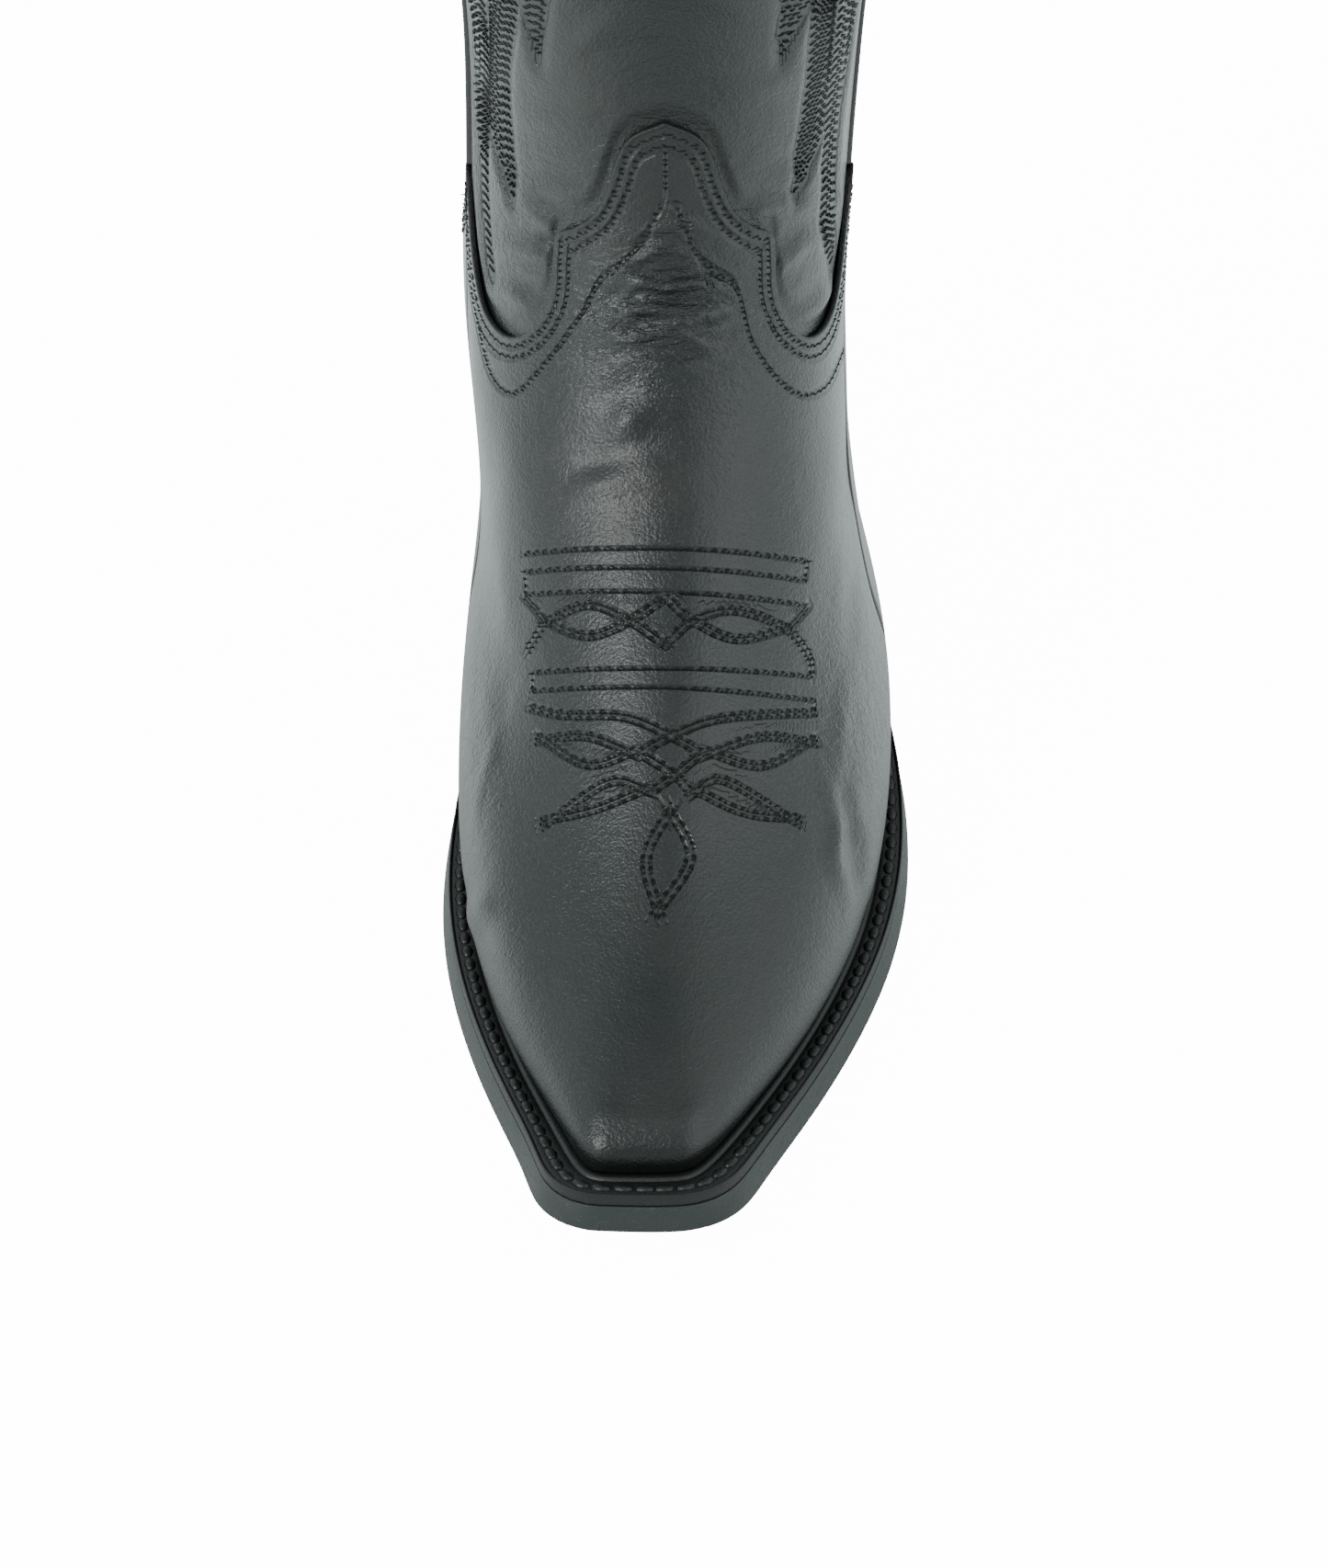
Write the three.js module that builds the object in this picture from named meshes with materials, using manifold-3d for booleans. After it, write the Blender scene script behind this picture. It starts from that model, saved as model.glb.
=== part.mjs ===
// A left cowboy boot with a snip toe, a stitched welt and an underslung stacked heel, standing on its sole.
// Millimetres, +Z up. The toe points to -Y and the outer (lateral) side of the foot is +X.
// The upper is one smooth B-spline form, the last with its leather on, and each leather piece is a sheet
// of its own thickness bent to that form at its own depth below the outside of the boot.
import * as THREE from "three";
import { mergeVertices } from "three/addons/utils/BufferGeometryUtils.js";
import Module from "manifold-3d";

const wasm = await Module();
wasm.setup();

// ---- Driving sizes ----
const SOLE_LENGTH = 303; // tip of the sole to the back of the heel seat
const BALL_WIDTH = 106; // sole across the ball, welt included
const BOOT_HEIGHT = 345; // floor to the side peaks of the top line
const SEAT_HEIGHT = 50.5; // floor to the top of the heel rand at the very back
const TOE_SPRING = 12.5; // lift of the welt at the tip over the welt at the ball
const FRONT_DIP = 30; // depth of the scallop at the front of the top line
const BACK_DIP = 24; // depth of the scallop at the back of the top line
const CLEARANCE = 0.4; // gap kept between pieces that lie on each other

const OUTER_LEATHER = 1.4; // vamp and counter cover
const SHAFT_LEATHER = 1.3;
const STIFFENER_BOARD = 0.7; // toe box and heel counter, in the shaft leather's layer
const LINING_LEATHER = 1.0;
const INSOLE_THICKNESS = 3.2;
const SOCK_THICKNESS = 1.2;
const WELT_THICKNESS = 3.5;
const OUTSOLE_THICKNESS = 5.7;
const WELT_SHOWING = 7; // welt top left bare outside the upper
const WELT_WIDTH = 12.5; // whole width of the welt strip
const RAND_WIDTH = 9;
const SHANK = { length: 92, width: 13, thickness: 1.4, start: 150 };
const CAP_THICKNESS = 6; // rubber top lift, the part that meets the floor
const LIFT_COUNT = 4; // leather lifts of the stack below the wedge
const WEDGE_EDGE = 1; // thickness of the wedge's thin end, at the breast
const HEEL_BREAST = 229; // distance of the heel's front face from the tip of the sole
const HEEL_TOP_WIDTH = 66;
const HEEL_FOOT_WIDTH = 57;
const HEEL_UNDERSLUNG = 15; // how far the back of the heel runs forward at the floor
const BREAST_SLOPE = 5; // how far the breast runs back at the floor
const NAIL = { radius: 1.3, length: 26, inset: 9, sink: 0.6 };
const PIPING_RADIUS = 1.5;
const BINDING = { wall: 1.0, depth: 7 };
const STRAP = { width: 30, thickness: 1.6, rise: 27, outerLeg: 52, innerLeg: 46 };

// ---- The form of the upper ----
// Columns run round the boot from the front centre line (0) to the back centre line (LAST_COLUMN).
const LAST_COLUMN = 13;
const COLUMNS = 2 * LAST_COLUMN;
// How far along the boot each column stands at the welt, and on a round section of the shaft.
const WELT_SPREAD = [0, 0, 0.004, 0.06, 0.18, 0.35, 0.54, 0.65, 0.75, 0.84, 0.915, 0.972, 0.998, 1];
const roundSpread = (j) => (1 - Math.cos((Math.PI * j) / LAST_COLUMN)) / 2;
// Each level is a closed line round the upper: its front and back points [y, z] in the middle plane, the
// share of the sole's own sweep it keeps, how round its columns are spread, the share of the sole's
// sideways swing it keeps, and its half widths at columns 1 to 12.
const FORM = { length: 303, width: 106, height: 345, seat: 50.5 }; // the sizes these levels were drawn at
const LEVELS = [
  { front: [8, 21.5], back: [300.5, 50.5], sweep: 1, round: 0, swing: 1,
    half: [7.3, 11.6, 18.6, 33.6, 47.4, 44, 33, 29.6, 30.6, 27.7, 20.6, 11.5] },
  { front: [7.4, 25.5], back: [302.5, 58], sweep: 0.95, round: 0, swing: 0.85,
    half: [7.6, 12.8, 21.4, 38.6, 50.4, 50.2, 42, 36.5, 34.5, 30.5, 22.7, 12.5] },
  { front: [10.5, 29.5], back: [303.5, 67], sweep: 0.8, round: 0, bow: -0.8, swing: 0.8,
    half: [7, 11.8, 20.6, 37.4, 49.4, 50.8, 44.8, 39, 36.2, 31.7, 23.5, 13] },
  { front: [27, 34.5], back: [304, 76], sweep: 0.6, round: 0.3, bow: -2, swing: 0.75,
    half: [4.5, 10.3, 21, 36.5, 46.8, 47.6, 43.6, 40.6, 37.7, 32.7, 24.6, 13] },
  { front: [52, 41], back: [303.5, 86], sweep: 0.45, round: 0.5, bow: -1.8, swing: 0.7,
    half: [5, 11.2, 21, 33.6, 42.4, 44.4, 43.2, 41.2, 38.6, 33.4, 25, 12.5] },
  { front: [76, 51], back: [301.5, 97], sweep: 0.3, round: 0.65, bow: -2.6, swing: 0.6,
    half: [5.5, 12.1, 21.5, 31.8, 39.4, 43, 43.4, 42, 39.3, 33.5, 24.7, 12] },
  { front: [99, 65], back: [298.5, 109], sweep: 0.2, round: 0.8, bow: -3, swing: 0.5,
    half: [6.5, 13.6, 22.5, 31.9, 39.3, 43.4, 44.4, 43.3, 39.9, 33.7, 24.3, 12] },
  { front: [121, 80], back: [295.5, 122], sweep: 0.1, round: 0.9, bow: -3.6, swing: 0.4,
    half: [7.5, 15, 23.7, 32.4, 39.4, 43.7, 44.9, 43.6, 39.9, 33.3, 23.7, 11.8] },
  { front: [143, 97], back: [293, 136], sweep: 0, round: 1, bow: -2.6, swing: 0.3,
    half: [8.5, 17, 26, 34, 40, 44, 45, 43.5, 39.5, 33, 23.5, 11.6] },
  { front: [161, 118], back: [291.5, 151], sweep: 0, round: 1, bow: -1.8, swing: 0.2,
    half: [9.5, 19, 28, 35.5, 41.2, 44.6, 45, 43, 39, 32.5, 23, 11.5] },
  { front: [173, 142], back: [292, 167], sweep: 0, round: 1, bow: -0.6, swing: 0.1,
    half: [10.5, 20.5, 29.5, 36.8, 42, 45, 45.4, 43.4, 39, 32.4, 23, 11.5] },
  { front: [179.5, 170], back: [294, 187], sweep: 0, round: 1, bow: 0.2, swing: 0, halfWidth: 46.4 },
  { front: [182, 203], back: [297, 212], sweep: 0, round: 1, swing: 0, halfWidth: 50.6 },
  { front: [181.5, 240], back: [300.5, 243], sweep: 0, round: 1, swing: 0, halfWidth: 55 },
  { front: [178, 280], back: [304.5, 280], sweep: 0, round: 1, swing: 0, halfWidth: 59 },
  { front: [173.5, 320], back: [308, 320], sweep: 0, round: 1, swing: 0, halfWidth: 62.5 },
  { front: [171, 352], back: [310, 352], sweep: 0, round: 1, swing: 0, halfWidth: 64 },
];
const TOP_LEVEL = LEVELS.length - 1;
const ROUNDNESS = 0.82; // below 1 the shaft's sides are fuller than an ellipse

const kLength = SOLE_LENGTH / FORM.length;
const kWidth = BALL_WIDTH / FORM.width;
const lerp = (a, b, t) => a + (b - a) * t;
const clamp = (t, low = 0, high = 1) => Math.min(high, Math.max(low, t));
const smooth = (t) => clamp(t) ** 2 * (3 - 2 * clamp(t));

// A smooth curve through [x, y] points, flat past both ends.
function curve(points) {
  const slope = points.map((p, i) => {
    const a = points[Math.max(0, i - 1)];
    const b = points[Math.min(points.length - 1, i + 1)];
    return (b[1] - a[1]) / (b[0] - a[0]);
  });
  return (x) => {
    const last = points.length - 1;
    if (x <= points[0][0]) return points[0][1];
    if (x >= points[last][0]) return points[last][1];
    const i = points.findIndex((p) => p[0] > x) - 1;
    const h = points[i + 1][0] - points[i][0];
    const t = (x - points[i][0]) / h;
    return (
      (2 * t ** 3 - 3 * t ** 2 + 1) * points[i][1] + (t ** 3 - 2 * t ** 2 + t) * h * slope[i] +
      (3 * t ** 2 - 2 * t ** 3) * points[i + 1][1] + (t ** 3 - t ** 2) * h * slope[i + 1]
    );
  };
}

// The top of the welt along the boot: toe spring, flat at the ball, then the rise of the waist to the seat.
const BOTTOM_STACK = WELT_THICKNESS + CLEARANCE + OUTSOLE_THICKNESS;
const springShape = curve([[0, 1], [30, 0.54], [60, 0.21], [85, 0.04], [100, 0], [303, 0]]);
const pitchShape = curve([[0, 0], [122, 0], [150, 0.1], [180, 0.345], [215, 0.665], [245, 0.87], [303, 1]]);
const feather = (y) =>
  BOTTOM_STACK + TOE_SPRING * springShape(y / kLength) + (SEAT_HEIGHT - BOTTOM_STACK) * pitchShape(y / kLength);
// The sideways swing of the sole's centre line, positive to the outer side.
const swingShape = curve([
  [0, -6.5], [17, -3.9], [54, -1.6], [95, 1], [135, 4.3], [165, 5.3], [200, 3.6], [245, 1], [303, 0],
]);
const centre = (y) => kWidth * swingShape(y / kLength);

// Heights of the form move with the heel where the boot stands on it, and stretch with the shaft.
const ANKLE = 170;
function formHeight(y, z, round) {
  const heelShare = lerp(pitchShape(y / kLength), 1, round);
  const lifted = z + (SEAT_HEIGHT - FORM.seat) * heelShare;
  const taller = BOOT_HEIGHT - FORM.height - (SEAT_HEIGHT - FORM.seat);
  return lifted + taller * clamp((z - ANKLE) / (FORM.height - ANKLE), 0, 2);
}

// The control net: one closed ring of points for each level.
const NET = LEVELS.map((level, row) => {
  const ring = [];
  const [frontY, backY] = [level.front[0] * kLength, level.back[0] * kLength];
  for (let column = 0; column < COLUMNS; column++) {
    const j = column <= LAST_COLUMN ? column : COLUMNS - column;
    const side = column <= LAST_COLUMN ? 1 : -1;
    const s = lerp(WELT_SPREAD[j], roundSpread(j), level.round);
    const y = lerp(frontY, backY, s);
    const swept = feather(y) - lerp(feather(frontY), feather(backY), s);
    const drawn = formHeight(y, lerp(level.front[1], level.back[1], s), level.round) + level.sweep * swept;
    const z = row === 0 ? feather(y) : drawn;
    const round = (Math.abs(Math.sin((Math.PI * j) / LAST_COLUMN)) ** ROUNDNESS) * level.halfWidth;
    const half = level.half ? (level.half[j - 1] ?? 0) : round;
    const bow = (level.bow ?? 0) * Math.sin((Math.PI * j) / LAST_COLUMN);
    ring.push(new THREE.Vector3(centre(y) * level.swing + (side * half + bow) * kWidth, y, z));
  }
  return ring;
});
const extend = (a, b) => a.map((p, i) => p.clone().multiplyScalar(2).sub(b[i]));
const ROWS = [extend(NET[0], NET[1]), ...NET, extend(NET[TOP_LEVEL], NET[TOP_LEVEL - 1])];

const weights = (t) => [
  (1 - t) ** 3 / 6, (3 * t ** 3 - 6 * t ** 2 + 4) / 6, (-3 * t ** 3 + 3 * t ** 2 + 3 * t + 1) / 6, t ** 3 / 6,
];

// The outside of the boot at a column and a level, both real numbers.
function onForm(column, level) {
  const row = Math.floor(clamp(level, 0, TOP_LEVEL - 1e-9));
  const first = Math.floor(column);
  const rowWeights = weights(level - row);
  const columnWeights = weights(column - first);
  const point = new THREE.Vector3();
  for (let r = 0; r < 4; r++)
    for (let c = 0; c < 4; c++) {
      const p = ROWS[row + r][(((first + c - 1) % COLUMNS) + COLUMNS) % COLUMNS];
      point.addScaledVector(p, rowWeights[r] * columnWeights[c]);
    }
  return point;
}

const STEP = 0.02;
function outward(column, level) {
  const low = clamp(level, STEP, TOP_LEVEL - STEP);
  const along = onForm(column + STEP, low).sub(onForm(column - STEP, low));
  const up = onForm(column, low + STEP).sub(onForm(column, low - STEP));
  return along.cross(up).normalize();
}

// A point at a depth below the outside of the boot.
// Near the welt the leather is measured level with the sole.
const LEVEL_BAND = 1.5;
function atDepth(column, level, depth) {
  const out = outward(column, level);
  const flat = out.clone().setZ(0).normalize();
  out.lerp(flat, 1 - smooth(level / LEVEL_BAND)).normalize();
  return onForm(column, level).addScaledVector(out, -depth);
}

// ---- Helpers that make closed solids ----
const positions = (geometry) => geometry.getAttribute("position");

// A box cut into cells and bent by a map from (x, y, z), each from 0 to 1, to a point of the boot.
function bent(cells, map) {
  const box = new THREE.BoxGeometry(1, 1, 1, ...cells);
  const at = positions(box);
  for (let i = 0; i < at.count; i++) {
    const point = map(at.getX(i) + 0.5, at.getY(i) + 0.5, at.getZ(i) + 0.5);
    at.setXYZ(i, point.x, point.y, point.z);
  }
  return closed(box);
}

// Merges a geometry's doubled points, drops the cells that a slanted edge has closed up
// and turns it outwards.
function closed(geometry) {
  geometry.deleteAttribute("normal");
  geometry.deleteAttribute("uv");
  const merged = mergeVertices(geometry, 1e-4);
  const at = positions(merged);
  const corner = (i) => new THREE.Vector3().fromBufferAttribute(at, i);
  const triangles = [];
  let volume = 0;
  const index = merged.getIndex();
  for (let i = 0; i < index.count; i += 3) {
    const [a, b, c] = [index.getX(i), index.getX(i + 1), index.getX(i + 2)];
    if (a === b || b === c || c === a) continue;
    triangles.push([a, b, c]);
    volume += corner(a).dot(corner(b).cross(corner(c)));
  }
  merged.setIndex(triangles.flatMap(([a, b, c]) => (volume > 0 ? [a, b, c] : [a, c, b])));
  return merged;
}

function toSolid(geometry) {
  const merged = closed(geometry);
  const used = new Map();
  const vertProperties = [];
  const triVerts = [];
  const at = positions(merged);
  for (const i of merged.getIndex().array) {
    if (!used.has(i)) {
      used.set(i, used.size);
      vertProperties.push(at.getX(i), at.getY(i), at.getZ(i));
    }
    triVerts.push(used.get(i));
  }
  return new wasm.Manifold(
    new wasm.Mesh({
      numProp: 3,
      vertProperties: new Float32Array(vertProperties),
      triVerts: new Uint32Array(triVerts),
    }),
  );
}

function fromSolid(solid) {
  const mesh = solid.getMesh();
  const geometry = new THREE.BufferGeometry();
  geometry.setAttribute("position", new THREE.BufferAttribute(Float32Array.from(mesh.vertProperties), 3));
  geometry.setIndex(new THREE.BufferAttribute(Uint32Array.from(mesh.triVerts), 1));
  return geometry;
}

// ---- Materials ----
const leather = (color, roughness) => new THREE.MeshStandardMaterial({ color, roughness, metalness: 0 });
const UPPER = leather(0x262a2b, 0.42);
const SHAFT = leather(0x232627, 0.45);
const TRIM = leather(0x1b1d1e, 0.4);
const LINING = leather(0x6b5138, 0.75);
const STIFFENER = leather(0xb08a5e, 0.8);
const SOLE = leather(0x1d1f20, 0.5);
const STACK = leather(0x191a1b, 0.5);
const WELT = leather(0x151718, 0.55);
const CORK = new THREE.MeshStandardMaterial({ color: 0xa9825a, roughness: 0.95, metalness: 0 });
const RUBBER = new THREE.MeshStandardMaterial({ color: 0x141414, roughness: 0.85, metalness: 0 });
const STEEL = new THREE.MeshStandardMaterial({ color: 0x9a9da0, roughness: 0.35, metalness: 1 });
const BRASS = new THREE.MeshStandardMaterial({ color: 0xb8914a, roughness: 0.35, metalness: 1 });

const boot = new THREE.Group();
function add(name, geometry, material) {
  const mesh = new THREE.Mesh(geometry, material);
  mesh.name = name;
  boot.add(mesh);
  return mesh;
}

// ---- Lines on the form ----
// Every sheet has its cells on the same lattice, so that sheets lying on each other stay parallel.
const LEVEL_LINES = [0, 0.5, 1, 1.5, 2, 2.5, 3, 4, 5, 6, 7, 8, 9, 10, 11, 13, 15, 16];
const REAR_LINES = [0, 1, 2, 3, 4, 5, 6, 8, 9, 10, 11, 13, 15, 16];
const COLUMN_STEP = 0.5;
const SEAM = 6; // column of the side seams
const SHAFT_DEPTH = OUTER_LEATHER + CLEARANCE;
const LINING_DEPTH = SHAFT_DEPTH + SHAFT_LEATHER + CLEARANCE;
const UPPER_DEPTH = LINING_DEPTH + LINING_LEATHER; // all the leather of the upper together

// Top of the vamp: a rounded tongue, a shoulder and a deep scallop, then a peak at the side seam.
const vampShape = curve([
  [0, 10.9], [0.55, 10.78], [0.8, 10.64], [1.05, 10.38], [1.4, 10.12], [1.9, 9.92], [2.5, 9.68], [2.6, 9.3],
  [2.85, 8.98], [3.3, 8.66], [4, 8.3], [4.7, 8.07], [5.2, 8.03], [5.6, 8.26], [5.82, 8.62], [SEAM, 9.05],
]);
const vampTop = (column) => vampShape(Math.abs(column));
// Top of the counter cover: it falls from the side peak and rises to a point at the back seam.
const counterShape = curve([
  [SEAM, 9.05], [6.2, 8.6], [6.5, 8.15], [7.2, 7.7], [8.4, 7.75], [9.8, 8.4], [11.2, 9.4], [12.2, 9.95], [13, 10.3],
]);
const fromBack = (column) => LAST_COLUMN - Math.abs(LAST_COLUMN - column);
const counterTop = (column) => counterShape(fromBack(column));

// The scalloped top line of the shaft: side peaks, a V in front and a shallower one behind.
const dipShape = curve([
  [0, 1], [0.5, 0.93], [1.6, 0.62], [3, 0.3], [4.6, 0.08], [SEAM, 0],
  [8, 0.1], [10, 0.35], [11.4, 0.66], [12.5, 0.94], [13, 1],
]);
const levelAtHeight = (column, height) => {
  let [low, high] = [TOP_LEVEL - 5, TOP_LEVEL];
  for (let i = 0; i < 30; i++) {
    const middle = (low + high) / 2;
    if (onForm(column, middle).z < height) low = middle;
    else high = middle;
  }
  return (low + high) / 2;
};
function topLine(column) {
  const j = fromBack(Math.abs(column));
  const dip = dipShape(j) * (j < SEAM ? FRONT_DIP : BACK_DIP);
  return levelAtHeight(column, BOOT_HEIGHT - dip);
}
const onWelt = () => 0;
// A line a real distance below or above another one, measured up the form.
const shifted = (line, distance) => (column) => {
  const level = line(column);
  const step = level > TOP_LEVEL - STEP ? -STEP : STEP;
  const rise = onForm(column, level + step).distanceTo(onForm(column, level));
  return level + (distance * STEP) / rise;
};

// A hidden edge: it follows another line at a distance below it, with the line's corners taken off.
function hiddenEdge(line, drop) {
  const around = [-1, -0.5, 0, 0.5, 1];
  const softened = (column) => around.reduce((sum, d) => sum + line(column + d), 0) / around.length;
  return shifted(softened, -drop);
}

// The columns of the lattice between two ends, with the ends themselves.
function stations(from, to) {
  const columns = [from];
  for (let c = Math.ceil((from + 0.05) / COLUMN_STEP) * COLUMN_STEP; c < to - 0.05; c += COLUMN_STEP) columns.push(c);
  return [...columns, to];
}

// A point at a depth, on the flat cell of the lattice that it falls in.
function onLattice(column, level, depth, lines) {
  const row = lines.findLastIndex((line, i) => line <= level && i < lines.length - 1);
  const up = (level - lines[row]) / (lines[row + 1] - lines[row]);
  const left = Math.floor(column / COLUMN_STEP + 1e-6) * COLUMN_STEP;
  const across = (column - left) / COLUMN_STEP;
  const corner = (c, l) => atDepth(left + c * COLUMN_STEP, lines[row + l], depth);
  return corner(0, 0).lerp(corner(1, 0), across).lerp(corner(0, 1).lerp(corner(1, 1), across), up);
}

// A sheet of leather between two columns and two lines on the form, at a depth below the outside.
function sheet({ from, to, low, high, depth, thickness }) {
  const columns = stations(from, to);
  const lines = from < 0 ? LEVEL_LINES : REAR_LINES;
  const rows = lines.length - 1;
  return bent([columns.length - 1, rows, 1], (x, y, z) => {
    const column = columns[Math.round(x * (columns.length - 1))];
    const line = Math.round(y * rows);
    const bottom = low(column);
    const top = high(column);
    const level = line === 0 ? bottom : line === rows ? top : clamp(lines[line], bottom, top);
    const point = onLattice(column, level, depth + (1 - z) * thickness, lines);
    if (level < 1e-6) point.z = feather(point.y) + CLEARANCE;
    return point;
  });
}

// ---- Outer leather ----
const GAP = 0.035; // half of a butted seam, in columns
function vamp() {
  const shape = { from: -SEAM + GAP, to: SEAM - GAP, low: onWelt, high: vampTop };
  add("vamp", sheet({ ...shape, depth: 0, thickness: OUTER_LEATHER }), UPPER);
}

function counterCover() {
  const back = 2 * LAST_COLUMN;
  const shape = { from: SEAM + GAP, to: back - SEAM - GAP, low: onWelt, high: counterTop };
  add("counter_cover", sheet({ ...shape, depth: 0, thickness: OUTER_LEATHER }), UPPER);
}

// ---- Shaft ----
const PIPING_GAP = 0.2; // half the room left for the piping between the shaft panels, in columns
const SHAFT_OVERLAP = 12; // how far the shaft runs down under the vamp and the counter cover
function shaft() {
  const shape = { high: topLine, depth: SHAFT_DEPTH, thickness: SHAFT_LEATHER };
  const underVamp = hiddenEdge(vampTop, SHAFT_OVERLAP);
  const underCover = hiddenEdge(counterTop, SHAFT_OVERLAP);
  const back = 2 * LAST_COLUMN;
  add("shaft_front", sheet({ ...shape, from: -SEAM + PIPING_GAP, to: SEAM - PIPING_GAP, low: underVamp }), SHAFT);
  add("shaft_back", sheet({ ...shape, from: SEAM + PIPING_GAP, to: back - SEAM - PIPING_GAP, low: underCover }), SHAFT);
}

// A bead of leather in each side seam, from the side peak of the vamp to the top binding.
function sidePiping() {
  for (const [side, column] of [["lateral", SEAM], ["medial", -SEAM]]) {
    const start = shifted(vampTop, 2 * PIPING_RADIUS)(column);
    const end = shifted(topLine, -BINDING.depth - 1)(column);
    const points = [];
    const count = 16;
    for (let i = 0; i <= count; i++) {
      points.push(atDepth(column, lerp(start, end, i / count), LINING_DEPTH - CLEARANCE - PIPING_RADIUS));
    }
    const circle = new THREE.Shape().absarc(0, 0, PIPING_RADIUS, 0, 2 * Math.PI);
    const path = new THREE.CatmullRomCurve3(points);
    const bead = new THREE.ExtrudeGeometry(circle, { steps: count, extrudePath: path, curveSegments: 8 });
    add(`side_piping_${side}`, closed(bead), TRIM);
  }
}

// ---- Lining ----
const LINING_DROP = 5; // drop of the seam in the lining below the top of the vamp
function lining() {
  const shape = { depth: LINING_DEPTH, thickness: LINING_LEATHER };
  const back = 2 * LAST_COLUMN;
  const vampEnd = hiddenEdge(vampTop, LINING_DROP);
  const coverEnd = hiddenEdge(counterTop, LINING_DROP);
  const front = { from: -SEAM + GAP, to: SEAM - GAP };
  const rear = { from: SEAM + GAP, to: back - SEAM - GAP };
  add("vamp_lining", sheet({ ...shape, ...front, low: onWelt, high: shifted(vampEnd, -CLEARANCE) }), LINING);
  add("heel_lining", sheet({ ...shape, ...rear, low: onWelt, high: shifted(coverEnd, -CLEARANCE) }), LINING);
  add("shaft_lining_front", sheet({ ...shape, ...front, low: vampEnd, high: topLine }), LINING);
  add("shaft_lining_back", sheet({ ...shape, ...rear, low: coverEnd, high: topLine }), LINING);
}

// ---- Stiffeners between the outer leather and the lining ----
const TOE_BOX_COLUMN = 4.4;
const COUNTER_COLUMN = 7.5;
function stiffeners() {
  const depth = SHAFT_DEPTH + (SHAFT_LEATHER - STIFFENER_BOARD) / 2;
  const shape = { low: onWelt, depth, thickness: STIFFENER_BOARD };
  const arch = (share) => 1 - share * share;
  const toeTop = (column) => 0.5 + 4.2 * arch(column / TOE_BOX_COLUMN);
  const counterReach = LAST_COLUMN - COUNTER_COLUMN;
  const counterEdge = (column) => 1.4 + 4.4 * arch((column - LAST_COLUMN) / counterReach);
  add("toe_box", sheet({ ...shape, from: -TOE_BOX_COLUMN, to: TOE_BOX_COLUMN, high: toeTop }), STIFFENER);
  const ends = { from: COUNTER_COLUMN, to: 2 * LAST_COLUMN - COUNTER_COLUMN };
  add("heel_counter", sheet({ ...shape, ...ends, high: counterEdge }), STIFFENER);
}

// ---- Top binding: a strip folded over the top line, front and back ----
function topBinding() {
  const outside = SHAFT_DEPTH - CLEARANCE;
  const inside = UPPER_DEPTH + CLEARANCE;
  const middle = (outside + inside) / 2;
  const turn = 3; // cells round the fold
  const half = (inside - outside) / 2;
  const strip = (from, to) => {
    const columns = stations(from, to);
    const lines = from < 0 ? LEVEL_LINES : REAR_LINES;
    return bent([columns.length - 1, turn + 2, 1], (x, y, z) => {
      const column = columns[Math.round(x * (columns.length - 1))];
      const edge = topLine(column);
      const line = Math.round(y * (turn + 2));
      const reach = half + z * BINDING.wall;
      const side = clamp(line * 2 - turn - 2, -1, 1);
      const lower = shifted(() => edge, -BINDING.depth)(column);
      if (line === 0 || line === turn + 2) return onLattice(column, lower, middle + side * reach, lines);
      const angle = (Math.PI * (line - 1)) / turn;
      const up = CLEARANCE + reach * Math.sin(angle);
      return onLattice(column, edge, middle - reach * Math.cos(angle), lines).add(new THREE.Vector3(0, 0, up));
    });
  };
  const room = 0.12; // columns left open at the side seams
  add("top_binding_front", strip(-SEAM + room, SEAM - room), TRIM);
  add("top_binding_back", strip(SEAM + room, 2 * LAST_COLUMN - SEAM - room), TRIM);
}

// ---- Pull straps: two sewn legs and a free loop on each side ----
const LOOP_ROOM = 3; // gap between a loop and its sewn legs, so that the loop can tilt
function pullStraps() {
  for (const [side, column] of [["lateral", SEAM], ["medial", -SEAM]]) {
    const turned = side === "lateral" ? 1 : -1;
    const edge = topLine(column);
    const top = atDepth(column, edge, (SHAFT_DEPTH + UPPER_DEPTH) / 2);
    const outerDepth = SHAFT_DEPTH - 2 * CLEARANCE - BINDING.wall;
    const innerDepth = UPPER_DEPTH + 2 * CLEARANCE + BINDING.wall;
    // A leg is a flat strap lying on the shaft, between two distances below the top line.
    const leg = (depth, start, length) =>
      bent([4, 5, 1], (x, y, z) => {
        const level = shifted(() => edge, -lerp(start + length, start, y))(column);
        const middle = onForm(column, level);
        const spread = onForm(column + 0.5, level).distanceTo(onForm(column - 0.5, level));
        return atDepth(column + ((x - 0.5) * STRAP.width) / spread, level, depth - z * STRAP.thickness);
      });
    add(`pull_strap_outer_${side}`, leg(outerDepth, 0, STRAP.outerLeg), TRIM);
    add(`pull_strap_inner_${side}`, leg(innerDepth + STRAP.thickness, 0, STRAP.innerLeg), TRIM);
    const foot = top.z + CLEARANCE + LOOP_ROOM;
    const half = (innerDepth - outerDepth) / 2;
    const turn = 8;
    const loop = bent([2, turn + 2, 1], (x, y, z) => {
      const line = Math.round(y * (turn + 2));
      const reach = half + z * STRAP.thickness;
      const angle = (Math.PI * clamp(line - 1, 0, turn)) / turn;
      const rise = line === 0 || line === turn + 2 ? 0 : STRAP.rise - half - STRAP.thickness + reach * Math.sin(angle);
      const along = (x - 0.5) * STRAP.width;
      return new THREE.Vector3(top.x + turned * reach * Math.cos(angle), top.y + along, foot + rise);
    });
    add(`pull_strap_loop_${side}`, loop, TRIM);
  }
}

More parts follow.
